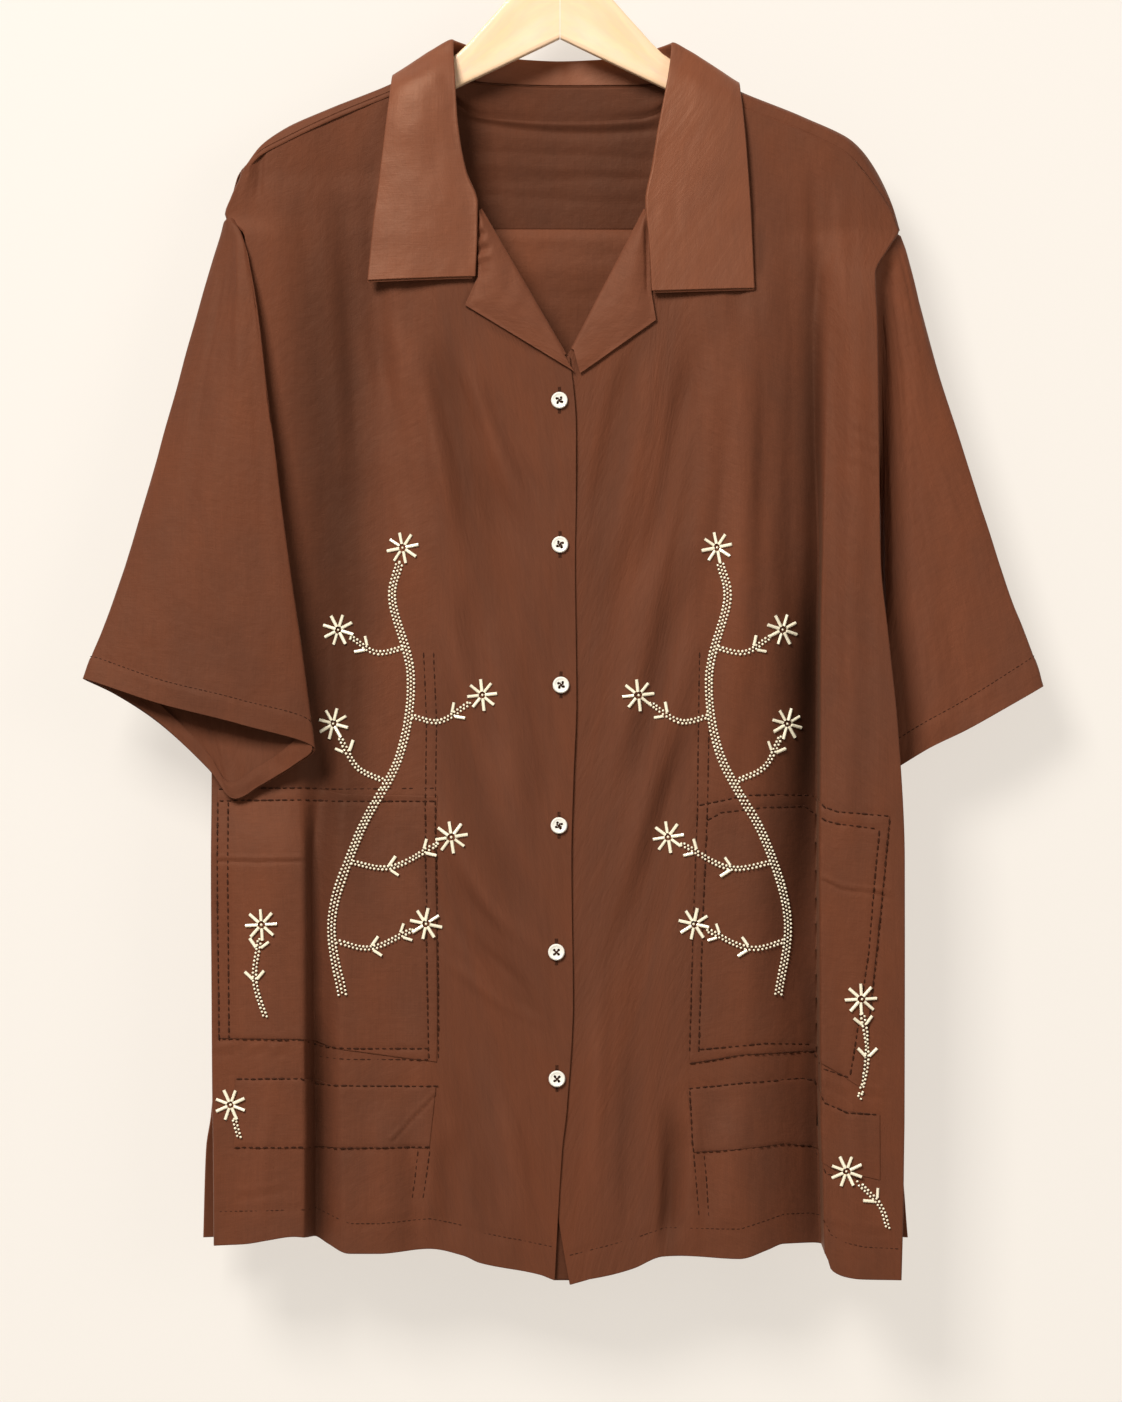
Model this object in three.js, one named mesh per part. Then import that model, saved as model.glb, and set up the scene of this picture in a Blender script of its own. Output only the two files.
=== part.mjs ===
// Short-sleeved camp-collar shirt, closed right over left, on a pale wooden hanger.
// Millimetres, Z up. The origin is the inner top of the hanger hook, the shirt front faces -Y.
import * as THREE from "three";

const clothWall = 1.1;
const seamGap = 0.35;
const layerStep = clothWall + seamGap;

// Each row of a front: height, then x and depth of the side fold, the lip of the side pleat, its
// pit, the plain cloth beside it, (the cloth under the overlap,) the closing edge and the seam.
const rightStops = [0, 0.25, 0.28, 0.38, 1];
const rightSections = [
  [-148.1, -221.9, -9, -199.5, -9, -182, -9, -147, -9, 4.2, -12, -224, -1],
  [-217.4, -221.9, -8.5, -199.5, -9, -182, -9, -147, -9.5, 4.2, -14, -223.6, -1],
  [-235.6, -228.9, -8, -201.6, -10.5, -178.5, -11, -147, -12, 3.5, -15, -229.9, -1],
  [-248.9, -233.4, -7, -201.6, -11, -176.4, -12, -147, -13, 3.5, -16, -234.8, -1],
  [-263.6, -218.4, -12, -193.2, -12.5, -173.6, -13, -147, -15, 3.5, -17, -220.8, -11.5],
  [-309.1, -214.9, -13, -189, -13.5, -168, -15.5, -144.2, -18, 3.5, -19, -217.7, -12.5],
  [-400.1, -215.6, -13, -187.6, -14, -164.5, -16.5, -142.1, -20, 11.2, -21, -218.8, -12.5],
  [-428.1, -226.8, -12, -190.4, -14, -164.5, -16.5, -142.1, -21, 11.2, -22, -230.3, -11],
  [-443.5, -238.7, -10, -192.5, -14, -164.5, -16, -142.1, -21, 11.2, -22, -241.5, -1],
  [-491.1, -242.2, -12, -193.9, -14, -164.5, -15, -142.1, -22, 10.5, -23, -242.2, 0],
  [-589.1, -242.9, -13, -189, -15, -165.2, -14, -145.6, -23, 11.5, -24, -242.2, 0],
  [-645.1, -242.9, -15, -183.4, -19, -168, -14, -147.7, -24, 9.4, -25, -242.2, 0],
  [-701.1, -242.9, -24, -179.5, -32, -172.9, -15, -150.5, -25, 8, -26, -242.2, 0],
  [-799.1, -242.2, -28, -179.2, -36, -172.2, -14, -150.5, -27, 9.1, -28, -242.2, 0],
  [-872.6, -241.5, -30, -178.5, -38, -171.5, -14.5, -150.5, -29, 4.9, -29, -242.2, 0],
  [-904.1, -240.8, -31, -178.5, -39, -170.8, -16, -149.8, -30, 1.4, -30, -241.5, -12],
  [-1002.1, -240.1, -32, -179.2, -40, -170.1, -19, -148.4, -32, -4.2, -31, -239.4, -22],
];
const leftStops = [0, 0.23, 0.27, 0.46, 0.9, 1];
const leftSections = [
  [-155.1, 237.3, -8.5, 203, -9, 189, -9, 126, -9.5, 14, -10, -8.4, -10, 236.6, -4],
  [-259.4, 236.6, -8.5, 203, -12, 189, -12, 126, -15, 14, -14, -8.4, -14, 235.9, -4],
  [-272, 229.6, -14, 197.4, -16, 183.4, -15, 126, -16, 14, -15, -8.4, -15, 228.5, -9],
  [-291.6, 219.4, -24, 192.5, -22, 178.5, -17, 126, -18, 14, -16, -8.4, -16, 218.4, -16],
  [-327.3, 220.5, -30, 189.7, -27, 175.7, -18, 126, -22, 15, -17.5, -8.4, -17.5, 219.4, -20],
  [-407.1, 221.5, -35, 186.2, -31, 172.9, -16, 129.5, -24.5, 16, -19.2, -9.8, -19.2, 219.8, -23],
  [-443.5, 221.9, -36.5, 184.8, -33, 171.5, -14.5, 129.5, -25, 16, -20, -9.8, -20, 216.3, -1],
  [-491.1, 222.6, -38, 183.4, -35, 170.1, -13, 129.5, -26, 16, -21, -9.8, -20.8, 214.9, 0],
  [-547.1, 228.2, -40, 182.3, -37, 170.1, -11, 129.5, -27, 16, -21.6, -9.8, -21.3, 215.6, 0],
  [-610.1, 234.5, -42, 182, -39, 170.8, -9.5, 129.5, -28, 16, -22.3, -9.8, -22, 219.1, 0],
  [-701.1, 239, -44, 181.3, -42, 172.2, -9, 129.5, -29, 14, -24, -9.8, -23.8, 222.6, 0],
  [-880.3, 238.7, -46, 182, -46, 173.6, -10, 126, -31, 12, -27, -9.1, -26.8, 224, 0],
  [-904.1, 238.3, -46, 182.7, -46.5, 174.3, -10.5, 126, -31.5, 12, -28, -7, -27.8, 226.8, -12],
  [-945.4, 237.6, -46.5, 183.4, -47, 175.7, -11, 126.7, -32, 14, -28.8, -1.8, -28.6, 232.4, -28],
  [-1002.1, 235.9, -47, 184.8, -48, 177.1, -12, 127.4, -33, 22, -29.4, 7.7, -29, 233.1, -36],
];

// Top edge of each front, x and height: yoke seam, neck seam, roll line down to the break.
const rightTop = [
  [-221.9, -218.8],
  [-210, -207.2],
  [-192.5, -197.8],
  [-168, -184.1],
  [-121.1, -164.6],
  [-91, -152.3],
  [-79.8, -181.7],
  [-58.1, -244],
  [4.2, -349],
];
const leftTop = [
  [-8.4, -364],
  [7, -345.5],
  [60.2, -244.7],
  [75.6, -190.1],
  [91, -160.7],
  [128.8, -175],
  [169.4, -190.4],
  [201.6, -207.2],
  [212.1, -218.8],
  [231.7, -247.1],
  [236.6, -259.4],
];

// Hem of each front, x and height.
const rightHem = [
  [-240.8, -969.2],
  [-219.8, -967.8],
  [-203.7, -965],
  [-184.8, -962.2],
  [-171.5, -963.6],
  [-161.7, -968.5],
  [-146.3, -974.8],
  [-126.7, -974.8],
  [-91, -971.3],
  [-67.2, -976.2],
  [-56, -981.1],
  [-14, -989.5],
  [-4.9, -993],
];
const leftHem = [
  [7.7, -996.5],
  [33.6, -990.2],
  [51.1, -985.3],
  [71.4, -976.9],
  [84.7, -976.2],
  [125.3, -978.3],
  [144.2, -972.7],
  [156.1, -968.9],
  [176.4, -968.9],
  [184.1, -973.4],
  [188.3, -984.6],
  [198.8, -989.5],
  [208.6, -990.9],
  [235.9, -991.6],
];

// Soft folds: x and height of the start, middle and end, half width, rise towards the viewer.
const rightFolds = [
  [-84, -330.1, -63, -414.1, -24.5, -498.1, 18.2, -3],
  [-115.5, -309.1, -108.5, -435.1, -94.5, -547.1, 16.8, 2.2],
  [-173.6, -204.1, -161, -330.1, -150.5, -463.1, 14, 2],
  [-133, -176.1, -131.6, -281.1, -122.5, -393.1, 14, -1.8],
  [-77, -519.1, -38.5, -659.1, -8.4, -750.1, 21, 3.2],
  [-84, -694.1, -35, -785.1, -1.4, -841.1, 16.8, -2.8],
  [-122.5, -862.1, -117.6, -925.1, -115.5, -974.1, 18.2, 2.4],
  [-73.5, -883.1, -77, -932.1, -79.1, -974.1, 15.4, -2.2],
  [-37.1, -855.1, -33.6, -925.1, -28, -988.1, 16.8, 2],
];
const leftFolds = [
  [126, -309.1, 127.4, -449.1, 130.2, -589.1, 16.8, 3.2],
  [92.4, -330.1, 59.5, -512.1, 36.4, -694.1, 18.2, 3.2],
  [99.4, -330.1, 71.4, -435.1, 56, -519.1, 14, -2.6],
  [91, -589.1, 70, -694.1, 56, -799.1, 18.2, -2.4],
  [86.8, -876.1, 79.8, -918.1, 75.6, -974.1, 11.2, -3],
  [119, -862.1, 117.6, -925.1, 116.2, -974.1, 16.8, 2.4],
  [28, -799.1, 29.4, -904.1, 30.8, -981.1, 16.8, 2],
  [150.5, -295.1, 145.6, -393.1, 141.4, -491.1, 11.2, -2],
  [211.4, -449.1, 210, -589.1, 211.4, -729.1, 12.6, -2],
];

// Back panel: height, x and depth of the seam at photo left, depth of the middle, seam at right.
const backSections = [
  [-256.9, -233, 1, 18.5, 235.5, 5.5],
  [-309, -217, 9.5, 20.5, 222, 12.5],
  [-400, -219, 9, 22.5, 218.5, 9.5],
  [-430, -231, 6, 23, 217, 5],
  [-443.9, -241.2, 0.9, 23, 216.3, 0.9],
  [-491.1, -242.2, 0.9, 23.5, 214.9, 0.9],
  [-589.1, -242.2, 0.9, 24, 217.5, 0.9],
  [-701.1, -242.2, 0.9, 25, 222.6, 0.9],
  [-850, -242.8, 0.9, 26, 224, 0.9],
  [-880.3, -245, 1.2, 26, 229, 1.2],
  [-904.1, -248.6, 3, 26, 238.5, 3],
  [-967, -250.8, 6, 27, 244.5, 6],
];
// Top edge of the back panel under the yoke: x, depth, height.
const backTop = [
  [-234.3, 0.2, -255.4],
  [-229, 7, -256.9],
  [-217, 11, -257.1],
  [-196, 14, -257.1],
  [-161, 16, -257.1],
  [-121, 17, -257.1],
  [0, 19, -257.1],
  [98, 17.5, -257.8],
  [168, 16, -259.9],
  [200, 14, -261.3],
  [215.6, 12, -262.7],
  [229.6, 8, -264.8],
  [235.5, 5, -266.3],
];
const backFolds = [
  [-120, -270, -126, -600, -132, -985, 26, 4],
  [-30, -300, -26, -640, -20, -985, 30, -4],
  [70, -280, 78, -620, 84, -985, 26, 4],
  [150, -320, 152, -640, 150, -985, 24, -4],
];

// Yoke from photo left to right: front seam, ridge over the shoulder and back seam, x, depth, height.
const yokeStations = [
  [-223.4, -1.3, -217.4, -224.8, 0.9, -219.1, -234.3, 0.2, -254.9],
  [-219.4, -7.8, -214.2, -220.5, 0.2, -214.6, -228.9, 7, -256.4],
  [-210, -8.5, -204.6, -210, 0, -200.6, -217, 11, -256.6],
  [-192.5, -8.5, -195.1, -192.5, 0, -188, -196, 14, -256.6],
  [-161, -8.5, -180, -161, 0, -174, -161, 16, -256.6],
  [-121.1, -8.7, -163.6, -119, 0, -157.2, -121.1, 17, -256.6],
  [-98, -9, -154.2, -95.9, 0, -144.6, -95.9, 17.5, -256.6],
  [-88.6, -2.5, -138.6, -85.4, 8.4, -141.5, -81.9, 18, -256.6],
  [-84.6, 6.4, -139.8, -82.6, 10.4, -145.6, -78, 18, -256.6],
  [-77, 9.5, -148.8, -75.6, 13, -162.1, -73.5, 18, -256.6],
  [-56, 14.5, -154.4, -56, 16.5, -176.1, -54.6, 18, -256.6],
  [0, 18, -156.5, 0, 18.5, -179.6, 0, 19, -256.6],
  [57.4, 14.5, -156.5, 57.4, 16.5, -177.5, 56, 18, -256.6],
  [78.4, 9.5, -152.3, 77, 13, -165.6, 75.6, 18, -257.3],
  [85.4, 6.4, -141.8, 83.4, 10.4, -147.6, 81, 18, -257.3],
  [89.3, -2.5, -140.4, 86.1, 8.4, -143.4, 85.4, 18, -257.3],
  [99.4, -9, -163.6, 96.6, 0, -146.3, 98, 17.5, -257.3],
  [128.8, -8.7, -174.5, 124.6, 0, -161.4, 127.4, 17, -258],
  [169.4, -8.5, -189.9, 169.4, 0, -179.6, 168, 16, -259.4],
  [201.6, -8.5, -206.7, 205.1, 0, -197.1, 200.2, 14, -260.8],
  [212.4, -8.5, -218.2, 221.2, 0, -217, 215.6, 12, -262.2],
  [232.2, -8, -246.6, 232.6, 0, -241.2, 229.6, 8, -264.3],
  [236.8, -5, -258.5, 238.2, 0, -259.4, 235.5, 5, -265.7],
];

// Collar from the right front end round the neck: seam, fold and outer edge, x, depth, height.
const collarStations = [
  [-59.8, -20.5, -293, -60.1, -23.5, -293.4, -134.4, -19.5, -295.8],
  [-58.8, -19.5, -263.6, -58.8, -23, -263.6, -132.3, -18.5, -274.1],
  [-58.6, -17, -241.9, -58.8, -22.4, -242.6, -129.8, -18.5, -249.6],
  [-67, -14, -218.1, -67.3, -21, -218.8, -126, -17.5, -221.6],
  [-76.4, -12.4, -188.7, -73, -20, -183.1, -122.5, -16.5, -193.6],
  [-84.8, -11.4, -163.5, -74.5, -16, -151.6, -119.6, -14.6, -171.2],
  [-88.6, -7.6, -147.5, -75.4, -9.5, -136.6, -118.2, -10.8, -158.6],
  [-89.6, -2.6, -136.9, -75.6, -3, -126, -116.9, -0.5, -150.8],
  [-82.6, 7.2, -137.6, -67.9, 9, -127.8, -112, 20, -166],
  [-74.8, 10.6, -146.2, -52.5, 16, -132.7, -91, 24.5, -193.6],
  [-56, 16.8, -153.3, -24.5, 21, -137.6, -56, 26, -209.7],
  [0, 20.5, -155.4, 0, 24, -138.3, 0, 27, -214.6],
  [57.4, 16.8, -155.4, 26.6, 21, -137.6, 57.4, 26, -211.1],
  [76.2, 10.6, -149.8, 56, 16, -134.1, 94.5, 24.5, -195.7],
  [83.4, 7.2, -139.4, 71.4, 9, -129.9, 120.4, 20, -171.6],
  [90.4, -2.6, -138.7, 79.1, -3, -128.1, 125.3, -0.5, -156],
  [88.4, -7.6, -152, 78.4, -9.5, -138.6, 126.6, -10.8, -166],
  [83.4, -11.4, -170.5, 76.6, -16, -152.3, 128, -14.8, -178.1],
  [72.6, -12.4, -193.6, 70, -20, -188.7, 129.9, -17.3, -198.1],
  [65, -14, -218.1, 65.7, -21, -216.7, 131.9, -18.6, -225.1],
  [60.8, -17, -243.3, 61.2, -23, -241.2, 133.7, -18.5, -253.1],
  [63.7, -20.5, -270.6, 63.3, -24.5, -270.6, 134.8, -20, -277.6],
  [65.1, -22, -303.5, 65.1, -25.5, -303.5, 135.8, -21.5, -301.4],
];

// Sleeve rings from the armhole to the cuff, ten points round: x, depth, height.
const ringPlaces = [0, 0.05, 0.35, 0.7, 1];
const rightSleeveRings = [
  [
    [-236.6, 0, -257.9],
    [-233.5, -7.7, -252.9],
    [-227, -11.4, -257.2],
    [-222.3, -13.2, -265.5],
    [-219.6, -13.6, -323.1],
    [-226.9, -12.9, -407.1],
    [-244.3, -1.2, -446.5],
    [-230.6, 9.5, -400.1],
    [-227.6, 10.2, -323.1],
    [-234.8, 6, -270.6],
  ],
  [
    [-240.1, -2, -269.9],
    [-233.1, -10, -267.8],
    [-225.4, -15, -269.2],
    [-218.6, -17.6, -275.5],
    [-220.4, -17.6, -330.1],
    [-231, -17.6, -412.7],
    [-247.8, -5, -453.3],
    [-236.6, 7, -407.1],
    [-233.8, 7.5, -330.1],
    [-239.4, 4, -282.5],
  ],
  [
    [-267.4, -7, -370],
    [-246.4, -22, -372.8],
    [-224, -29.5, -374.9],
    [-204.4, -31, -377.7],
    [-208.6, -24, -417.6],
    [-221.2, -20, -470.1],
    [-245.7, -16.5, -512.1],
    [-256.2, -8, -477.1],
    [-262.5, -3, -428.1],
    [-267.4, -2, -393.1],
  ],
  [
    [-307.6, -15, -506.5],
    [-269.5, -32, -520.5],
    [-226.1, -38, -529.6],
    [-182, -37.5, -542.9],
    [-195.3, -28, -571.6],
    [-215.6, -21.5, -593.3],
    [-236.6, -19, -608.7],
    [-252, -16, -582.1],
    [-276.5, -12, -548.5],
    [-295.4, -10, -521.9],
  ],
  [
    [-332.5, -22, -574.4],
    [-280, -34, -591.2],
    [-221.2, -40, -606.2],
    [-170.8, -38, -623],
    [-184.1, -32, -634.6],
    [-208.6, -26, -649.3],
    [-227.5, -23.5, -658.4],
    [-245.7, -20, -637.4],
    [-280.7, -16, -605.2],
    [-311.5, -17, -584.9],
  ],
];
const leftSleeveRings = [
  [
    [239, 0, -263.6],
    [233.1, -8.2, -272],
    [223.3, -13, -283.9],
    [219.7, -17, -302.1],
    [220.6, -20.3, -351.1],
    [221.7, -21.3, -402],
    [218.4, -0.9, -446.6],
    [220.2, 10.6, -407.1],
    [225, 13.4, -337.1],
    [233.1, 9, -279.7],
  ],
  [
    [241.5, 0, -271.3],
    [238, -6, -279.7],
    [230.6, -7, -292.3],
    [227.1, -7, -312.6],
    [226.1, -7, -358.1],
    [225, -6, -407.1],
    [222.6, 1, -450.5],
    [225.4, 8.5, -410.6],
    [229.6, 10.5, -344.1],
    [237.3, 7, -286.7],
  ],
  [
    [268.8, 0, -370],
    [260.4, -7.5, -394.5],
    [248.5, -10, -417.6],
    [238, -10, -442.1],
    [228.2, -8, -468.7],
    [225.4, -3, -488.3],
    [224.7, 3, -498.1],
    [236.6, 9, -463.1],
    [248.5, 10, -421.1],
    [261.1, 7, -388.2],
  ],
  [
    [307.3, 0, -491.1],
    [290.5, -8, -509.3],
    [269.5, -10, -526.8],
    [248.5, -10, -544.3],
    [230.3, -8, -557.6],
    [227.5, -2, -564.6],
    [227.5, 4, -566],
    [248.5, 9, -540.8],
    [269.5, 9.5, -524],
    [290.5, 7, -505.8],
  ],
  [
    [338.8, 0, -579.6],
    [310.1, -7.5, -596.1],
    [284.9, -9.5, -610.1],
    [259, -9.5, -622.7],
    [235.9, -8, -636.7],
    [231.7, -2, -638.8],
    [231, 3, -638.8],
    [259, 9, -620.6],
    [284.9, 9.5, -607.3],
    [311.5, 7, -592.6],
  ],
];

// Patches on the fronts: x and height along the top edge and along the bottom edge.
const pockets = {
  pocket_right: {
    side: "right",
    rows: 8,
    top: [[-239.4, -650.7], [-180, -650.7], [-150, -655], [-85.4, -656]],
    bottom: [[-238, -825], [-180, -825], [-157.5, -832], [-86, -841.5]],
  },
  lower_patch_right: {
    side: "right",
    rows: 4,
    top: [[-226, -852.3], [-180, -852.3], [-157.5, -857.9], [-86.5, -858.6]],
    bottom: [[-227, -901], [-157, -901], [-91, -901.3]],
  },
  pocket_left: {
    side: "left",
    rows: 8,
    top: [[96.6, -662.6], [128.8, -655.6], [177, -655.6], [193, -667], [229, -669.6]],
    bottom: [[90.3, -842.5], [128.8, -836.2], [178.5, -834.8], [190, -846], [209.3, -858.6]],
  },
  lower_patch_left: {
    side: "left",
    rows: 4,
    top: [[88.6, -860], [128.8, -855.8], [178, -854.5], [190, -872], [221.9, -876.8]],
    bottom: [[93.1, -904.1], [154.7, -899.2], [178.5, -902], [190, -915], [222, -922]],
  },
};

// Buttons: x and height of each centre.
const buttonCentres = [
  [-0.4, -379.8],
  [0, -480.6],
  [0.7, -578.6],
  [-0.7, -676.6],
  [-2.5, -764.8],
  [-2.1, -853],
];
const button = { radius: 5.8, thick: 1.6, bevel: 0.4, holeRadius: 0.8, holeReach: 1.45 };

// Outline of a hanger arm seen from the front, x outwards from the middle and height.
const armOutline = {
  right: [
    [0.2, -78.1], [15.4, -80.2], [29.4, -89.3], [38.5, -99.1], [56, -118.7], [72.1, -135],
    [95.9, -149.6], [118.3, -161.3], [161, -178.2], [192.5, -192.6], [206, -204.6],
    [211.5, -213.5], [210.5, -219], [206.5, -221.3], [192.5, -212.6], [161, -201.3],
    [118.3, -181.3], [73.5, -160], [0.2, -125],
  ],
  left: [
    [0.2, -78.1], [15.4, -80.2], [29.4, -89.3], [38.5, -99.1], [56, -118.7], [72.1, -135.6],
    [96.6, -152.2], [124.6, -166], [169.4, -184.4], [201, -201], [211.5, -213.5],
    [214, -221], [210.5, -225.2], [201, -221.3], [169.4, -205.8], [124.6, -185.2],
    [75.6, -162.1], [0.2, -125],
  ],
};
const armThick = 10;
const armBevel = 2.4;
const hook = { wireRadius: 1.75, bendRadius: 22, shankTop: -54, shankFoot: -77.7 };

const mix = (a, b, t) => a + (b - a) * t;
const ease = (t) => {
  const c = Math.min(1, Math.max(0, t));
  return c * c * (3 - 2 * c);
};

// Monotone cubic through the points (xs, ys); it never overshoots a row of a table.
function monotone(xs, ys) {
  const n = xs.length;
  const slope = xs.slice(1).map((x, i) => (ys[i + 1] - ys[i]) / (x - xs[i]));
  const tangent = ys.map((_, i) => {
    if (i === 0) return slope[0];
    if (i === n - 1) return slope[n - 2];
    const before = slope[i - 1];
    const after = slope[i];
    return before * after <= 0 ? 0 : (2 * before * after) / (before + after);
  });
  return (x) => {
    if (x <= xs[0]) return ys[0];
    if (x >= xs[n - 1]) return ys[n - 1];
    let i = 0;
    while (x > xs[i + 1]) i += 1;
    const h = xs[i + 1] - xs[i];
    const t = (x - xs[i]) / h;
    const a = ys[i] * (1 + 2 * t) * (1 - t) ** 2 + ys[i + 1] * t * t * (3 - 2 * t);
    return a + h * (tangent[i] * t * (1 - t) ** 2 - tangent[i + 1] * t * t * (1 - t));
  };
}

function linear(xs, ys) {
  return (x) => {
    if (x <= xs[0]) return ys[0];
    const last = xs.length - 1;
    if (x >= xs[last]) return ys[last];
    let i = 0;
    while (x > xs[i + 1]) i += 1;
    return mix(ys[i], ys[i + 1], (x - xs[i]) / (xs[i + 1] - xs[i]));
  };
}

// One smooth curve down the garment for every column of a table whose first column is the height.
function columnCurves(table) {
  const rows = [...table].sort((a, b) => a[0] - b[0]);
  const heights = rows.map((row) => row[0]);
  return table[0].slice(1).map((_, c) => monotone(heights, rows.map((row) => row[c + 1])));
}

function foldRise(folds, x, z) {
  let rise = 0;
  for (const [x0, z0, x1, z1, x2, z2, half, height] of folds) {
    if (z <= z0 && z >= z2) {
      const middle = monotone([z2, z1, z0], [x2, x1, x0])(z);
      const across = (x - middle) / half;
      const fade = ease((z0 - z) / (0.3 * (z0 - z2))) * ease((z - z2) / (0.3 * (z0 - z2)));
      if (Math.abs(across) < 1) rise += height * fade * (1 - across * across) ** 2;
    }
  }
  return rise;
}

// A front as a function of place across (0 side fold, 1 closing edge) and height.
function makeFront(sections, stops, folds, topEdge, hemEdge) {
  const curves = columnCurves(sections);
  const count = stops.length;
  const xsAt = (z) => stops.map((_, i) => curves[2 * i](z));
  const ysAt = (z) => stops.map((_, i) => curves[2 * i + 1](z));
  const xAt = (u, z) => linear(stops, xsAt(z))(u);
  const uAt = (x, z) => {
    const xs = xsAt(z);
    if (xs[0] < xs[count - 1]) return linear(xs, stops)(x);
    return linear([...xs].reverse(), [...stops].reverse())(x);
  };
  const pointAt = (u, z) => {
    const x = xAt(u, z);
    const calm = ease((1 - u) / 0.14) * ease(u / 0.08);
    return new THREE.Vector3(x, monotone(stops, ysAt(z))(u) - calm * foldRise(folds, x, z), z);
  };
  const seamAt = (z) => new THREE.Vector3(curves[2 * count](z), curves[2 * count + 1](z), z);
  const edgeCurve = (edge) => {
    const places = edge.map(([x, z]) => [uAt(x, z), z]).sort((a, b) => a[0] - b[0]);
    const kept = places.filter((p, i) => i === 0 || p[0] > places[i - 1][0] + 1e-4);
    return linear(kept.map((p) => p[0]), kept.map((p) => p[1]));
  };
  return { pointAt, seamAt, uAt, topAt: edgeCurve(topEdge), hemAt: edgeCurve(hemEdge) };
}

function surfaceNormal(front, u, z) {
  const across = front.pointAt(u + 0.004, z).sub(front.pointAt(u - 0.004, z));
  const along = front.pointAt(u, z + 0.8).sub(front.pointAt(u, z - 0.8));
  const normal = across.cross(along).normalize();
  return normal.y > 0 ? normal.negate() : normal;
}

// Turn of a front from its side fold back to the seam, place 0 at the fold and 1 at the seam.
function sideTurn(front, z, place) {
  const fold = front.pointAt(0, z);
  const near = front.pointAt(0.012, z);
  const seam = front.seamAt(z);
  const out = fold.clone().sub(near).setY(0).normalize().multiplyScalar(1.6);
  const bend = fold.clone().add(out).setY(mix(fold.y, seam.y, 0.3));
  const p = fold.clone().multiplyScalar((1 - place) ** 2);
  p.addScaledVector(bend, 2 * place * (1 - place));
  return p.addScaledVector(seam, place * place);
}

// Closed wall of the given thickness round a grid of points; a ring grid closes across itself.
function wall(grid, thickness, ring = false) {
  const rows = grid.length;
  const cols = grid[0].length;
  const pick = (r, c) => grid[Math.min(rows - 1, Math.max(0, r))][
    ring ? (c + cols) % cols : Math.min(cols - 1, Math.max(0, c))
  ];
  const positions = [];
  for (const side of [1, -1]) {
    for (let r = 0; r < rows; r += 1) {
      for (let c = 0; c < cols; c += 1) {
        const across = pick(r, c + 1).clone().sub(pick(r, c - 1));
        const down = pick(r + 1, c).clone().sub(pick(r - 1, c));
        const normal = across.cross(down).normalize();
        const p = grid[r][c].clone().addScaledVector(normal, (side * thickness) / 2);
        positions.push(p.x, p.y, p.z);
      }
    }
  }
  const id = (s, r, c) => s * rows * cols + r * cols + (ring ? (c + cols) % cols : c);
  const index = [];
  const quad = (a, b, c, d) => index.push(a, b, c, a, c, d);
  const spans = ring ? cols : cols - 1;
  for (let r = 0; r < rows - 1; r += 1) {
    for (let c = 0; c < spans; c += 1) {
      quad(id(0, r, c), id(0, r + 1, c), id(0, r + 1, c + 1), id(0, r, c + 1));
      quad(id(1, r, c), id(1, r, c + 1), id(1, r + 1, c + 1), id(1, r + 1, c));
    }
  }
  for (let c = 0; c < spans; c += 1) {
    quad(id(0, 0, c), id(0, 0, c + 1), id(1, 0, c + 1), id(1, 0, c));
    quad(id(0, rows - 1, c), id(1, rows - 1, c), id(1, rows - 1, c + 1), id(0, rows - 1, c + 1));
  }
  if (!ring) {
    for (let r = 0; r < rows - 1; r += 1) {
      quad(id(0, r, 0), id(1, r, 0), id(1, r + 1, 0), id(0, r + 1, 0));
      quad(id(0, r, cols - 1), id(0, r + 1, cols - 1), id(1, r + 1, cols - 1), id(1, r, cols - 1));
    }
  }
  const geometry = new THREE.BufferGeometry();
  geometry.setAttribute("position", new THREE.Float32BufferAttribute(positions, 3));
  geometry.setIndex(index);
  return outward(geometry);
}

// Turns every triangle round where the closed mesh would have a negative volume.
function outward(geometry) {
  const p = geometry.attributes.position;
  const index = geometry.index.array;
  const corner = (i) => new THREE.Vector3().fromBufferAttribute(p, index[i]);
  let volume = 0;
  for (let i = 0; i < index.length; i += 3) {
    volume += corner(i).dot(corner(i + 1).cross(corner(i + 2)));
  }
  if (volume < 0) {
    for (let i = 0; i < index.length; i += 3) {
      [index[i + 1], index[i + 2]] = [index[i + 2], index[i + 1]];
    }
  }
  geometry.computeVertexNormals();
  return geometry;
}

const range = (count) => Array.from({ length: count + 1 }, (_, i) => i / count);

const frontColumns = {
  right: [
    0.035, 0.08, 0.13, 0.18, 0.222, 0.25, 0.265, 0.28, 0.31, 0.345, 0.38, 0.43, 0.48, 0.53, 0.58,
    0.64, 0.7, 0.76, 0.82, 0.88, 0.94, 1,
  ],
  left: [
    0.035, 0.08, 0.12, 0.165, 0.205, 0.23, 0.25, 0.27, 0.3, 0.34, 0.39, 0.44, 0.49, 0.54, 0.6, 0.66,
    0.72, 0.78, 0.84, 0.9, 0.95, 1,
  ],
};
const rowPlaces = range(24);

function frontGeometry(front, columns) {
  const grid = rowPlaces.map((v) => {
    const turn = [1, 0.55, 0.2].map((place) => {
      const z = mix(front.topAt(0), front.hemAt(0), v);
      return sideTurn(front, z, place);
    });
    const face = [0, ...columns].map((u) => front.pointAt(u, mix(front.topAt(u), front.hemAt(u), v)));
    return [...turn, ...face];
  });
  return wall(grid, clothWall);
}

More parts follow.
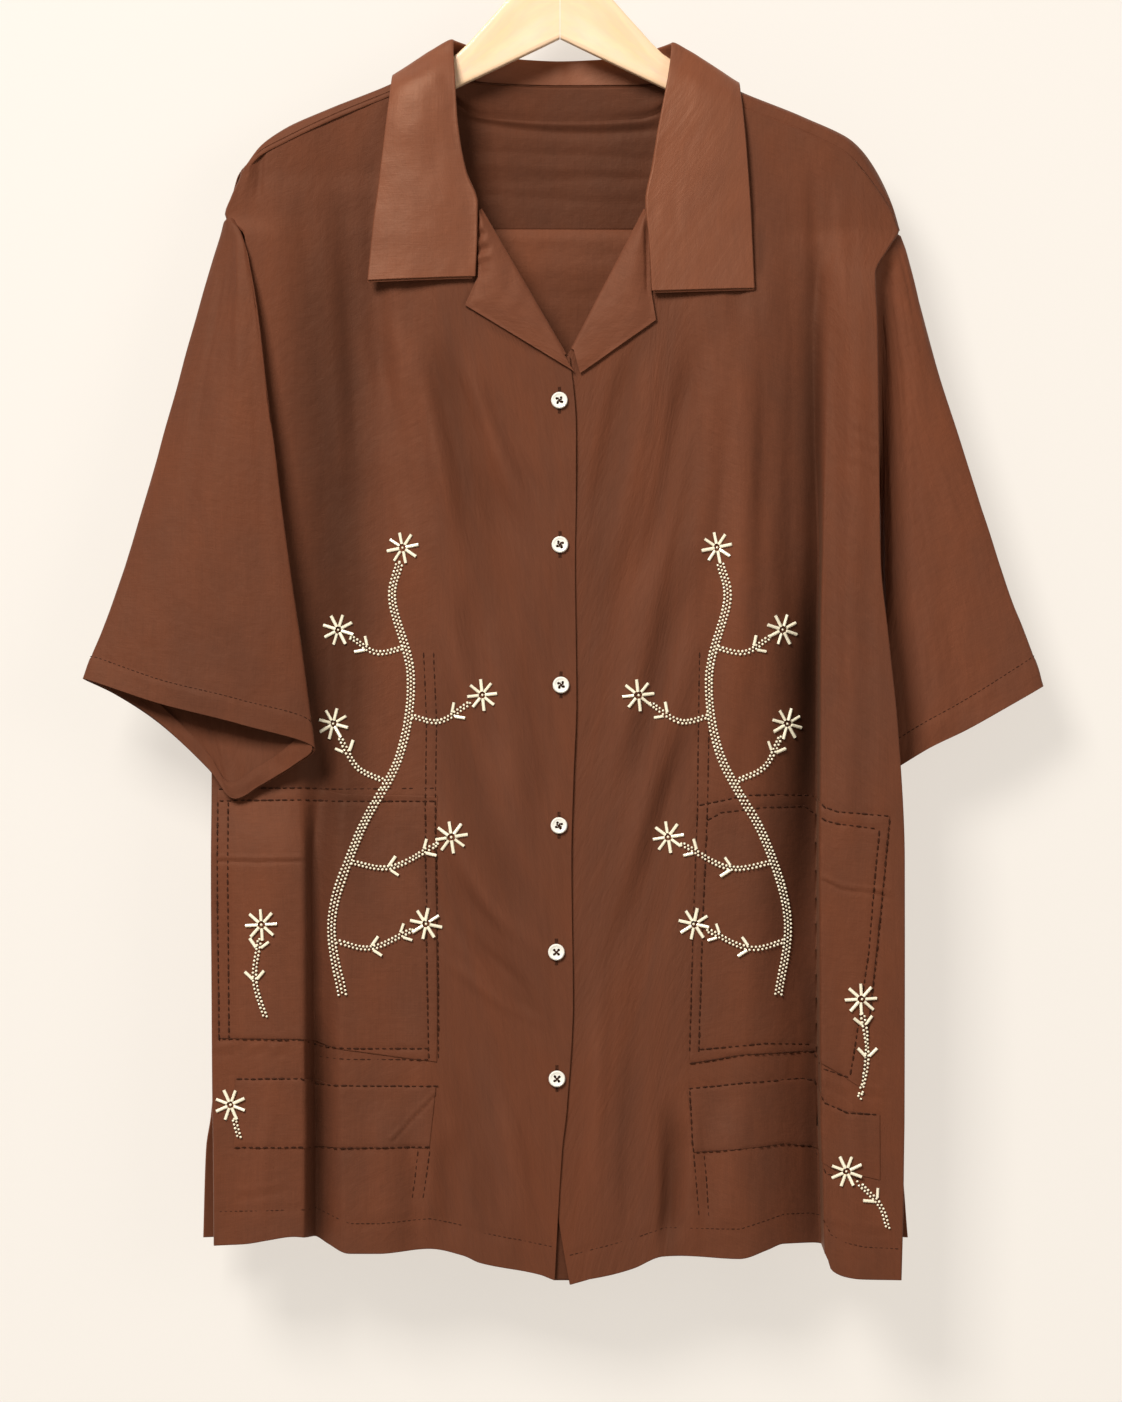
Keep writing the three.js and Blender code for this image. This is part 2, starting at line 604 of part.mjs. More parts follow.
// A patch is the front's own points moved out along its normals by one layer.
function patchGeometry(front, patch, columns) {
  const edge = (points) => {
    const places = points.map(([x, z]) => [front.uAt(x, z), z]).sort((a, b) => a[0] - b[0]);
    const us = places.map((p) => p[0]);
    const zs = places.map((p) => p[1]);
    return { from: us[0], to: us[us.length - 1], at: linear(us, zs) };
  };
  const top = edge(patch.top);
  const bottom = edge(patch.bottom);
  const from = Math.max(top.from, bottom.from) + 0.008;
  const to = Math.min(top.to, bottom.to) - 0.015;
  const inner = columns.filter((u) => u > from && u < to);
  const grid = range(patch.rows).map((v) => [0, ...inner, 1].map((place) => {
    let u = place;
    if (place === 0) u = mix(top.from, bottom.from, v);
    if (place === 1) u = mix(top.to, bottom.to, v);
    const z = mix(top.at(u), bottom.at(u), v);
    const p = front.pointAt(u, z);
    return p.addScaledVector(surfaceNormal(front, u, z), layerStep + 0.45);
  }));
  return wall(grid, clothWall * 0.9);
}

function backGeometry() {
  const curves = columnCurves(backSections);
  const topXs = backTop.map((row) => row[0]);
  const topY = linear(topXs, backTop.map((row) => row[1]));
  const topZ = linear(topXs, backTop.map((row) => row[2]));
  const columns = [0, 0.02, 0.07, 0.14, 0.22, 0.3, 0.38, 0.46, 0.54, 0.62, 0.7, 0.78, 0.86, 0.93, 0.98, 1];
  const grid = range(18).map((v) => columns.map((u) => {
    const topX = mix(topXs[0], topXs[topXs.length - 1], u);
    const z = mix(topZ(topX), -967, v);
    const [leftX, leftY, middleY, rightX, rightY] = curves.map((curve) => curve(z));
    const x = mix(mix(leftX, rightX, u), topX, ease(1 - v * 18));
    const side = Math.min(u, 1 - u);
    const flat = mix(u < 0.5 ? leftY : rightY, middleY, Math.sqrt(ease(side / 0.16)));
    const y = flat + ease(side / 0.12) * foldRise(backFolds, x, z);
    return new THREE.Vector3(x, mix(y, topY(topX), ease(1 - v * 9)), z);
  }));
  return wall(grid, clothWall);
}

function yokeGeometry() {
  const places = yokeStations.map((_, i) => i);
  const curves = yokeStations[0].map((_, c) => monotone(places, yokeStations.map((row) => row[c])));
  const steps = yokeStations.length - 1;
  const across = [];
  for (let i = 0; i < steps; i += 1) {
    across.push(i, i + 0.5);
  }
  across.push(steps);
  const grid = range(8).map((v) => across.map((place) => {
    const [fx, fy, fz, rx, ry, rz, bx, by, bz] = curves.map((curve) => curve(place));
    const along = (f, r, b, lead, near, far) => monotone(
      [0, 0.125, 0.25, 0.375, 0.5, 1],
      [f, mix(f, r, lead), r, mix(r, b, near), mix(r, b, far), b],
    )(v);
    return new THREE.Vector3(
      along(fx, rx, bx, 0.5, 0.1, 0.25),
      along(fy, ry, by, 0.2, 0.48, 0.7),
      along(fz, rz, bz, 0.72, 0.045, 0.16),
    );
  }));
  return wall(grid, clothWall);
}

// Collar section: the stand rises from the seam to the fold, the leaf falls to the outer edge.
function collarGeometry() {
  const places = collarStations.map((_, i) => i);
  const curves = collarStations[0].map((_, c) => monotone(places, collarStations.map((row) => row[c])));
  const steps = collarStations.length - 1;
  const grid = range(Math.round(steps * 1.7)).map((s) => {
    const row = curves.map((curve) => curve(s * steps));
    const seam = new THREE.Vector3(row[0], row[1], row[2]);
    const fold = new THREE.Vector3(row[3], row[4], row[5]);
    const outer = new THREE.Vector3(row[6], row[7], row[8]);
    const out = outer.clone().sub(fold).setZ(0).normalize();
    const standReach = Math.min(2.6, seam.distanceTo(fold) * 0.3);
    const standBend = fold.clone().addScaledVector(out, -standReach);
    const leafBend = fold.clone().addScaledVector(out, 5);
    const leafRise = outer.clone().lerp(fold, 0.45);
    leafRise.y += Math.sign(outer.y) * 2.5;
    const stand = new THREE.CubicBezierCurve3(seam, seam.clone().lerp(standBend, 0.5), standBend, fold);
    const leaf = new THREE.CubicBezierCurve3(fold, leafBend, leafRise, outer);
    const upright = [0, 0.5, 1].map((t) => stand.getPoint(t));
    const falling = [0.1, 0.28, 0.5, 0.75, 1].map((t) => leaf.getPoint(t));
    return [...upright, ...falling];
  });
  return wall(grid, clothWall);
}

// Revers: from the roll line (start, break) out to the gorge, the tip and the lower edge.
const revers = {
  right: {
    roll: [[-56.4, -246.5], [2.8, -348.6]],
    outer: [[-57.6, -248], [-57.2, -293.1], [-66.5, -313.3], [9.8, -359.5]],
    places: [0, 0.36, 0.5, 1],
  },
  left: {
    roll: [[60.4, -246.5], [9.5, -344.5]],
    outer: [[61.2, -248], [64, -304.9], [67.2, -323.8], [14, -361]],
    places: [0, 0.46, 0.6, 1],
  },
};

function reversGeometry(front, shape) {
  const outerX = linear(shape.places, shape.outer.map((p) => p[0]));
  const outerZ = linear(shape.places, shape.outer.map((p) => p[1]));
  const toNeck = Math.sign(shape.roll[1][0] - shape.roll[0][0]);
  const grid = [0, 0.09, 0.18, 0.27, 0.36, 0.43, 0.5, 0.62, 0.75, 0.88, 1].map((s) => {
    const rollX = mix(shape.roll[0][0], shape.roll[1][0], s);
    const rollZ = mix(shape.roll[0][1], shape.roll[1][1], s);
    return [0, 0.12, 0.3, 0.5, 0.75, 1].map((t) => {
      const x = mix(rollX, outerX(s), t);
      const z = mix(rollZ, outerZ(s), t);
      const p = front.pointAt(front.uAt(x, z), z);
      const swellOut = Math.sin(Math.PI * Math.min(1, t * 1.1));
      const swellDown = Math.sin(Math.PI * Math.min(0.95, s + 0.15));
      const lift = 1.9 + 2.6 * swellOut * swellDown;
      const roll = t === 0 ? 0.9 * toNeck : 0;
      return new THREE.Vector3(x + roll, p.y - lift, z + Math.abs(roll) * 0.5);
    });
  });
  return wall(grid, clothWall);
}

function sleeveGeometry(rings) {
  const loops = rings.map((ring) => new THREE.CatmullRomCurve3(
    ring.map(([x, y, z]) => new THREE.Vector3(x, y, z)), true, "centripetal",
  ));
  const around = 20;
  const down = [0, 0.02, 0.05, 0.1, 0.17, 0.25, 0.35, 0.45, 0.55, 0.65, 0.75, 0.84, 0.92, 1];
  const sides = range(around).slice(0, around).map((s) => {
    const points = loops.map((loop) => loop.getPoint(s));
    return ["x", "y", "z"].map((axis) => monotone(ringPlaces, points.map((p) => p[axis])));
  });
  const grid = down.map((v) => sides.map(([x, y, z]) => new THREE.Vector3(x(v), y(v), z(v))));
  return wall(grid, clothWall, true);
}

function buttonGeometry() {
  const circle = (x, y, radius, sides) => range(sides).slice(1).map((t) => new THREE.Vector2(
    x + radius * Math.cos(t * Math.PI * 2), y + radius * Math.sin(t * Math.PI * 2),
  ));
  const disc = new THREE.Shape(circle(0, 0, button.radius - button.bevel, 20));
  for (const [sx, sy] of [[1, 1], [1, -1], [-1, 1], [-1, -1]]) {
    const x = sx * button.holeReach;
    const y = sy * button.holeReach;
    disc.holes.push(new THREE.Path(circle(x, y, button.holeRadius + button.bevel, 6)));
  }
  const geometry = new THREE.ExtrudeGeometry(disc, {
    depth: button.thick,
    bevelThickness: button.bevel,
    bevelSize: button.bevel,
    bevelSegments: 1,
  });
  geometry.translate(0, 0, button.bevel);
  geometry.rotateX(Math.PI / 2);
  return geometry;
}

function armGeometry(outline, sign) {
  const shape = new THREE.Shape(outline.map(([x, z]) => new THREE.Vector2(sign * x, z)));
  const geometry = new THREE.ExtrudeGeometry(shape, {
    depth: armThick - 2 * armBevel,
    bevelThickness: armBevel,
    bevelSize: armBevel,
    bevelOffset: -armBevel,
    bevelSegments: 3,
  });
  geometry.rotateX(Math.PI / 2);
  geometry.translate(0, armThick / 2 - armBevel, 0);
  return geometry;
}

// Round rod along points that lie in the XZ plane, closed at both ends.
function rodGeometry(points, radius, sides) {
  const positions = [];
  const index = [];
  points.forEach((p, i) => {
    const before = points[Math.max(0, i - 1)];
    const after = points[Math.min(points.length - 1, i + 1)];
    const along = after.clone().sub(before).normalize();
    const across = new THREE.Vector3(along.z, 0, -along.x);
    for (let k = 0; k < sides; k += 1) {
      const angle = (k / sides) * Math.PI * 2;
      positions.push(
        p.x + across.x * Math.cos(angle) * radius,
        Math.sin(angle) * radius,
        p.z + across.z * Math.cos(angle) * radius,
      );
    }
  });
  const last = points.length - 1;
  for (let i = 0; i < last; i += 1) {
    for (let k = 0; k < sides; k += 1) {
      const n = (k + 1) % sides;
      index.push(i * sides + k, i * sides + n, (i + 1) * sides + n);
      index.push(i * sides + k, (i + 1) * sides + n, (i + 1) * sides + k);
    }
  }
  for (const end of [0, last]) {
    const middle = positions.length / 3;
    positions.push(points[end].x, 0, points[end].z);
    for (let k = 0; k < sides; k += 1) {
      const n = (k + 1) % sides;
      const pair = end === 0 ? [n, k] : [k, n];
      index.push(middle, end * sides + pair[0], end * sides + pair[1]);
    }
  }
  const geometry = new THREE.BufferGeometry();
  geometry.setAttribute("position", new THREE.Float32BufferAttribute(positions, 3));
  geometry.setIndex(index);
  return outward(geometry);
}

// The hook: an open bend over the origin, a reverse bend and the straight shank.
function hookPoints() {
  const centreZ = hook.wireRadius - hook.bendRadius;
  const points = range(20).map((t) => {
    const angle = mix(THREE.MathUtils.degToRad(195), THREE.MathUtils.degToRad(-62), t);
    const x = hook.bendRadius * Math.cos(angle);
    return new THREE.Vector3(x, 0, centreZ + hook.bendRadius * Math.sin(angle));
  });
  const end = points[points.length - 1];
  const neck = new THREE.CubicBezierCurve3(
    end,
    new THREE.Vector3(end.x - 6.5, 0, end.z - 3.6),
    new THREE.Vector3(0, 0, hook.shankTop + 5),
    new THREE.Vector3(0, 0, hook.shankTop),
  );
  const reverse = range(5).slice(1).map((t) => neck.getPoint(t));
  return [...points, ...reverse, new THREE.Vector3(0, 0, hook.shankFoot)];
}

function stuff(name, color, roughness, metalness = 0) {
  return new THREE.MeshStandardMaterial({ name, color, roughness, metalness });
}

const cloth = stuff("brown_cloth", 0x6f4332, 0.9);
const collarCloth = stuff("collar_cloth", 0x84503b, 0.9);
const buttonStuff = stuff("button", 0xf3ecda, 0.4);
const wood = stuff("pale_wood", 0xf0cda2, 0.5);
const steel = stuff("hook_steel", 0xb9b9b6, 0.3, 1);

const shirt = new THREE.Group();
shirt.name = "shirt_on_hanger";

function add(name, geometry, material) {
  const mesh = new THREE.Mesh(geometry, material);
  mesh.name = name;
  shirt.add(mesh);
  return mesh;
}

const fronts = {
  right: makeFront(rightSections, rightStops, rightFolds, rightTop, rightHem),
  left: makeFront(leftSections, leftStops, leftFolds, leftTop, leftHem),
};
add("front_right", frontGeometry(fronts.right, frontColumns.right), cloth);
add("front_left", frontGeometry(fronts.left, frontColumns.left), cloth);
add("back_panel", backGeometry(), cloth);
add("yoke", yokeGeometry(), cloth);
add("sleeve_right", sleeveGeometry(rightSleeveRings), cloth);
add("sleeve_left", sleeveGeometry(leftSleeveRings), cloth);
add("collar", collarGeometry(), collarCloth);
add("revers_right", reversGeometry(fronts.right, revers.right), cloth);
add("revers_left", reversGeometry(fronts.left, revers.left), cloth);
for (const [name, patch] of Object.entries(pockets)) {
  add(name, patchGeometry(fronts[patch.side], patch, frontColumns[patch.side]), cloth);
}
buttonCentres.forEach(([x, z], i) => {
  const seat = fronts.right.pointAt(fronts.right.uAt(x, z), z);
  const mesh = add(`button_${i + 1}`, buttonGeometry(), buttonStuff);
  mesh.position.set(x, seat.y - clothWall / 2 - seamGap, z);
});
add("hanger_arm_right", armGeometry(armOutline.right, -1), wood);
add("hanger_arm_left", armGeometry(armOutline.left, 1), wood);
add("hanger_hook", rodGeometry(hookPoints(), hook.wireRadius, 10), steel);

export default shirt;
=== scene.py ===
# Short-sleeved camp-collar shirt on a pale wooden hanger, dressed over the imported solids.
# Tables are in millimetres in the model's own frame; meshes are made in metres.
import math
import bpy
import bmesh
import numpy as np
from mathutils import Matrix, Vector


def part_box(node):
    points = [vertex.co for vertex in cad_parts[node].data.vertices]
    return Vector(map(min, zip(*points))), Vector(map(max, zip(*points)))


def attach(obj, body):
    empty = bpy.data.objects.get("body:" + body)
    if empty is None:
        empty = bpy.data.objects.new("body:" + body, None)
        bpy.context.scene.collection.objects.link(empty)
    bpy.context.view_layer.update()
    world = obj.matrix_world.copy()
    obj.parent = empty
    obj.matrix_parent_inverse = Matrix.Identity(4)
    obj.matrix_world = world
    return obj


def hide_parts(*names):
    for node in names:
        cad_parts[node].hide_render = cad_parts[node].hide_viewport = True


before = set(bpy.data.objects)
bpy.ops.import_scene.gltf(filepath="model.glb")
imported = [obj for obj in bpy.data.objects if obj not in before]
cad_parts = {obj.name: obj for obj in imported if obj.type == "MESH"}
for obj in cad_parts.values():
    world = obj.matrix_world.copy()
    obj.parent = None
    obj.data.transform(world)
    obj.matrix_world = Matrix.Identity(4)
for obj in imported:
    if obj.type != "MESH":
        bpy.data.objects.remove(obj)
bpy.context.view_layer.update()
scene = bpy.context.scene
scene.view_settings.view_transform = "Standard"
mm = 0.001

# camera, level and straight in front, set back for little perspective
cameraSet = {"centreX": 0.7, "centreZ": -589.8, "planeY": -12, "distance": 3800, "seenHeight": 981.4}
cameraData = bpy.data.cameras.new("camera")
cameraData.sensor_fit = "VERTICAL"
cameraData.sensor_height = 36
cameraData.lens = 36 * cameraSet["distance"] / cameraSet["seenHeight"]
cameraData.clip_end = 50
camera = bpy.data.objects.new("camera", cameraData)
scene.collection.objects.link(camera)
camera.location = (
    cameraSet["centreX"] * mm,
    (cameraSet["planeY"] - cameraSet["distance"]) * mm,
    cameraSet["centreZ"] * mm,
)
camera.rotation_euler = (math.pi / 2, 0, 0)
scene.camera = camera


# small maths used by every cloth piece

def mix(a, b, t):
    return a + (b - a) * t


def ease(t):
    c = np.clip(t, 0, 1)
    return c * c * (3 - 2 * c)


def spread(ys, xs, shape):
    ys = np.asarray(ys, float)
    if ys.ndim == 1:
        ys = ys.reshape((-1,) + (1,) * len(shape))
    return np.broadcast_to(ys, (len(xs),) + shape)


def monotoneAt(xs, ys, x):
    # monotone cubic through the rows of ys, the same curve as in the solids
    x = np.asarray(x, float)
    xs = np.asarray(xs, float)
    ys = spread(ys, xs, x.shape)
    h = np.diff(xs).reshape((-1,) + (1,) * x.ndim)
    slope = np.diff(ys, axis=0) / h
    before, after = slope[:-1], slope[1:]
    total = before + after
    safe = np.where(np.abs(total) < 1e-12, 1, total)
    middle = np.where(before * after <= 0, 0, 2 * before * after / safe)
    tangent = np.concatenate([slope[:1], middle, slope[-1:]])
    i = np.clip(np.searchsorted(xs, x, side="right") - 1, 0, len(xs) - 2)
    c = np.clip(x, xs[0], xs[-1])
    step = xs[i + 1] - xs[i]
    t = (c - xs[i]) / step

    def pick(a, k):
        return np.take_along_axis(a, k[None], axis=0)[0]

    a = pick(ys, i) * (1 + 2 * t) * (1 - t) ** 2 + pick(ys, i + 1) * t * t * (3 - 2 * t)
    return a + step * (pick(tangent, i) * t * (1 - t) ** 2 - pick(tangent, i + 1) * t * t * (1 - t))


def linearAt(xs, ys, x):
    return np.interp(x, xs, ys)


def columnCurves(table):
    rows = np.array(sorted(table), float)
    return lambda z: [monotoneAt(rows[:, 0], rows[:, c], z) for c in range(1, rows.shape[1])]


def softNoise(x, y, seed):
    # smooth value noise, the same every run
    lattice = np.random.RandomState(seed).rand(64, 64) * 2 - 1
    xi, yi = np.floor(x).astype(int), np.floor(y).astype(int)
    fx, fy = ease(x - xi), ease(y - yi)
    a = lattice[xi % 64, yi % 64]
    b = lattice[(xi + 1) % 64, yi % 64]
    c = lattice[xi % 64, (yi + 1) % 64]
    d = lattice[(xi + 1) % 64, (yi + 1) % 64]
    return mix(mix(a, b, fx), mix(c, d, fx), fy)


def foldRise(folds, x, z):
    rise = np.zeros_like(x)
    for x0, z0, x1, z1, x2, z2, half, height in folds:
        middle = monotoneAt([z2, z1, z0], [x2, x1, x0], z)
        across = (x - middle) / half
        fade = ease((z0 - z) / (0.3 * (z0 - z2))) * ease((z - z2) / (0.3 * (z0 - z2)))
        rise += height * fade * np.where(np.abs(across) < 1, (1 - across ** 2) ** 2, 0)
    return rise


def lineDistance(lines, x, z):
    # distance of every point from the nearest of some polylines in the picture plane
    best = np.full(x.shape, 1e3)
    for line in lines:
        for (ax, az), (bx, bz) in zip(line[:-1], line[1:]):
            dx, dz = bx - ax, bz - az
            t = np.clip(((x - ax) * dx + (z - az) * dz) / (dx * dx + dz * dz), 0, 1)
            best = np.minimum(best, np.hypot(x - ax - t * dx, z - az - t * dz))
    return best


def fineSteps(stops, counts, edge=0.0015):
    # parameters with a close pair at both ends, so the rim rounds over half a millimetre
    parts = [np.linspace(a, b, n, endpoint=False) for a, b, n in zip(stops[:-1], stops[1:], counts)]
    steps = np.concatenate(parts + [[stops[-1]]])
    return np.unique(np.concatenate([steps, [stops[0] + edge, stops[-1] - edge]]))


def gridNormals(points, ring=False):
    if ring:
        across = np.roll(points, -1, axis=1) - np.roll(points, 1, axis=1)
    else:
        across = np.gradient(points, axis=1)
    down = np.gradient(points, axis=0)
    normal = np.cross(across, down)
    return normal / np.maximum(np.linalg.norm(normal, axis=2, keepdims=True), 1e-9)


# wall thickness of plain cloth, of the thin patches and of the interlined collar
clothWall, patchWall, collarWall = 0.9, 0.5, 1.1


def sheetObject(name, points, thick, material, ring=False, paintedShade=None):
    # a grid of points in millimetres becomes a mesh with a flat UV map in metres and a live wall, and carries
    # any painted shade in an attribute named fold
    rows, cols = points.shape[:2]
    closed = np.concatenate([points, points[:, :1]], axis=1) if ring else points
    along = np.linalg.norm(np.diff(closed, axis=1), axis=2)
    down = np.linalg.norm(np.diff(closed, axis=0), axis=2)
    u = np.concatenate([np.zeros((rows, 1)), np.cumsum(along, axis=1)], axis=1)
    u -= u[:, u.shape[1] // 2][:, None]
    v = np.concatenate([np.zeros((1, closed.shape[1])), np.cumsum(down, axis=0)], axis=0)
    r, c = np.meshgrid(np.arange(rows - 1), np.arange(cols if ring else cols - 1), indexing="ij")
    n = (c + 1) % cols
    corners = [r * cols + c, (r + 1) * cols + c, (r + 1) * cols + n, r * cols + n]
    faces = np.stack(corners, axis=-1).reshape(-1, 4)
    mesh = bpy.data.meshes.new(name)
    mesh.vertices.add(rows * cols)
    mesh.vertices.foreach_set("co", (points * mm).reshape(-1))
    mesh.loops.add(faces.size)
    mesh.loops.foreach_set("vertex_index", faces.reshape(-1).astype(np.int32))
    mesh.polygons.add(len(faces))
    mesh.polygons.foreach_set("loop_start", np.arange(0, faces.size, 4, dtype=np.int32))
    mesh.polygons.foreach_set("use_smooth", np.ones(len(faces), bool))
    uvRows = np.stack([r, r + 1, r + 1, r], axis=-1).reshape(-1)
    uvCols = np.stack([c, c, c + 1, c + 1], axis=-1).reshape(-1)
    places = np.stack([u[uvRows, uvCols], v[uvRows, uvCols]], axis=-1) * mm
    mesh.uv_layers.new(name="cloth").data.foreach_set("uv", places.reshape(-1))
    if paintedShade is not None:
        fold = mesh.attributes.new("fold", "FLOAT", "POINT")
        fold.data.foreach_set("value", np.clip(paintedShade, -0.3, 0.9).reshape(-1))
    mesh.update(calc_edges=True)
    mesh.validate()
    piece = bpy.data.objects.new(name, mesh)
    scene.collection.objects.link(piece)
    wall = piece.modifiers.new("wall", "SOLIDIFY")
    wall.thickness = thick * mm
    wall.offset = 0
    mesh.materials.append(material)
    a, b, c, d = closed[:-1, :-1], closed[:-1, 1:], closed[1:, 1:], closed[1:, :-1]
    return piece


def declareCloth(piece, node):
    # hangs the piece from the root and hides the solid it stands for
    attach(piece, "root")
    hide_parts(node)


# materials

def newMaterial(name):
    material = bpy.data.materials.new(name)
    material.use_nodes = True
    tree = material.node_tree
    return material, tree, tree.nodes["Principled BSDF"]


def link(tree, a, b):
    tree.links.new(a, b)


def threadGroup():
    # cross-hatched uneven threads, tonal drift and the fine height of the cloth
    group = bpy.data.node_groups.new("wovenThreads", "ShaderNodeTree")
    face = group.interface
    face.new_socket("Place", in_out="INPUT", socket_type="NodeSocketVector")
    face.new_socket("Warm", in_out="INPUT", socket_type="NodeSocketColor")
    face.new_socket("Cool", in_out="INPUT", socket_type="NodeSocketColor")
    face.new_socket("Thread Contrast", in_out="INPUT", socket_type="NodeSocketFloat")
    face.new_socket("Color", in_out="OUTPUT", socket_type="NodeSocketColor")
    face.new_socket("Height", in_out="OUTPUT", socket_type="NodeSocketFloat")
    nodes = group.nodes
    start = nodes.new("NodeGroupInput")
    end = nodes.new("NodeGroupOutput")

    def streaks(scaleX, scaleY, detail):
        place = nodes.new("ShaderNodeMapping")
        place.inputs["Scale"].default_value = (scaleX, scaleY, 1)
        link(group, start.outputs["Place"], place.inputs["Vector"])
        noise = nodes.new("ShaderNodeTexNoise")
        noise.inputs["Scale"].default_value = 1
        noise.inputs["Detail"].default_value = detail
        link(group, place.outputs["Vector"], noise.inputs["Vector"])
        return noise.outputs["Fac"]

    def joined(operation, a, b):
        node = nodes.new("ShaderNodeMath")
        node.operation = operation
        for socket, value in zip(node.inputs, (a, b)):
            if isinstance(value, (int, float)):
                socket.default_value = value
            else:
                link(group, value, socket)
        return node.outputs[0]

    warp = streaks(1500, 45, 3)
    weft = streaks(60, 1400, 3)
    slub = streaks(260, 28, 2)
    threads = joined("ADD", joined("MULTIPLY", warp, 0.5), joined("MULTIPLY", weft, 0.5))
    drift = streaks(9, 4, 4)
    patchy = streaks(38, 24, 5)
    tone = joined("ADD", joined("MULTIPLY", drift, 0.65), joined("MULTIPLY", patchy, 0.35))
    ramp = nodes.new("ShaderNodeMapRange")
    ramp.inputs["From Min"].default_value = 0.32
    ramp.inputs["From Max"].default_value = 0.68
    link(group, tone, ramp.inputs["Value"])
    base = nodes.new("ShaderNodeMix")
    base.data_type = "RGBA"
    link(group, ramp.outputs["Result"], base.inputs["Factor"])
    link(group, start.outputs["Cool"], base.inputs["A"])
    link(group, start.outputs["Warm"], base.inputs["B"])
    shade = joined("ADD", joined("MULTIPLY", joined("SUBTRACT", threads, 0.5), 1.0),
                   joined("MULTIPLY", joined("SUBTRACT", slub, 0.5), 0.28))
    shade = joined("MULTIPLY", shade, start.outputs["Thread Contrast"])
    shade = joined("ADD", shade, 1.0)
    tint = nodes.new("ShaderNodeMix")
    tint.data_type = "RGBA"
    tint.blend_type = "MULTIPLY"
    tint.inputs["Factor"].default_value = 1
    grey = nodes.new("ShaderNodeCombineColor")
    for i in range(3):
        link(group, shade, grey.inputs[i])
    link(group, base.outputs["Result"], tint.inputs["A"])
    link(group, grey.outputs["Color"], tint.inputs["B"])
    link(group, tint.outputs["Result"], end.inputs["Color"])
    link(group, joined("ADD", threads, joined("MULTIPLY", slub, 0.3)), end.inputs["Height"])
    return group


wovenThreads = threadGroup()


def clothMaterial(name, warm, cool, contrast=0.5, sheen=0.07, gloss=0.2, roughness=0.6, rumple=0.0011):
    material, tree, shader = newMaterial(name)
    uv = tree.nodes.new("ShaderNodeUVMap")
    uv.uv_map = "cloth"
    weave = tree.nodes.new("ShaderNodeGroup")
    weave.node_tree = wovenThreads
    weave.inputs["Warm"].default_value = (*warm, 1)
    weave.inputs["Cool"].default_value = (*cool, 1)
    weave.inputs["Thread Contrast"].default_value = contrast
    link(tree, uv.outputs["UV"], weave.inputs["Place"])
    # painted shade: the fold attribute multiplies the base colour by one minus its value, darker where
    # positive, painted light where negative
    fold = tree.nodes.new("ShaderNodeAttribute")
    fold.attribute_name = "fold"
    paintedShadeFactor = tree.nodes.new("ShaderNodeMapRange")
    paintedShadeFactor.inputs["From Min"].default_value = -1
    paintedShadeFactor.inputs["To Min"].default_value = 2
    paintedShadeFactor.inputs["To Max"].default_value = 0
    paintedShadeMix = tree.nodes.new("ShaderNodeMix")
    paintedShadeMix.data_type = "RGBA"
    paintedShadeMix.blend_type = "MULTIPLY"
    paintedShadeMix.inputs["Factor"].default_value = 1
    link(tree, fold.outputs["Fac"], paintedShadeFactor.inputs["Value"])
    link(tree, weave.outputs["Color"], paintedShadeMix.inputs["A"])
    link(tree, paintedShadeFactor.outputs["Result"], paintedShadeMix.inputs["B"])
    link(tree, paintedShadeMix.outputs["Result"], shader.inputs["Base Color"])
    bump = tree.nodes.new("ShaderNodeBump")
    bump.inputs["Strength"].default_value = 0.35
    bump.inputs["Distance"].default_value = 0.0004
    link(tree, weave.outputs["Height"], bump.inputs["Height"])
    rumpled = tree.nodes.new("ShaderNodeTexNoise")
    rumpled.inputs["Scale"].default_value = 130
    rumpled.inputs["Detail"].default_value = 4
    rumpled.inputs["Roughness"].default_value = 0.55
    rumpled.inputs["Distortion"].default_value = 0.15
    rumpleBump = tree.nodes.new("ShaderNodeBump")
    rumpleBump.inputs["Strength"].default_value = 0.5
    rumpleBump.inputs["Distance"].default_value = rumple
    link(tree, uv.outputs["UV"], rumpled.inputs["Vector"])
    link(tree, rumpled.outputs["Fac"], rumpleBump.inputs["Height"])
    lines = tree.nodes.new("ShaderNodeTexNoise")
    lines.noise_type = "RIDGED_MULTIFRACTAL"
    lines.inputs["Scale"].default_value = 46
    lines.inputs["Detail"].default_value = 3
    lines.inputs["Roughness"].default_value = 0.5
    lines.inputs["Distortion"].default_value = 0.5
    lineBump = tree.nodes.new("ShaderNodeBump")
    lineBump.inputs["Strength"].default_value = 0.5
    lineBump.inputs["Distance"].default_value = 0.00045
    link(tree, uv.outputs["UV"], lines.inputs["Vector"])
    link(tree, lines.outputs["Fac"], lineBump.inputs["Height"])
    link(tree, rumpleBump.outputs["Normal"], lineBump.inputs["Normal"])
    link(tree, lineBump.outputs["Normal"], bump.inputs["Normal"])
    link(tree, bump.outputs["Normal"], shader.inputs["Normal"])
    shader.inputs["Roughness"].default_value = roughness
    shader.inputs["Sheen Weight"].default_value = sheen
    shader.inputs["Sheen Roughness"].default_value = 0.4
    shader.inputs["Sheen Tint"].default_value = (1.0, 0.58, 0.36, 1)
    shader.inputs["Specular IOR Level"].default_value = gloss
    shader.inputs["Specular Tint"].default_value = (1.0, 0.62, 0.42, 1)
    return material


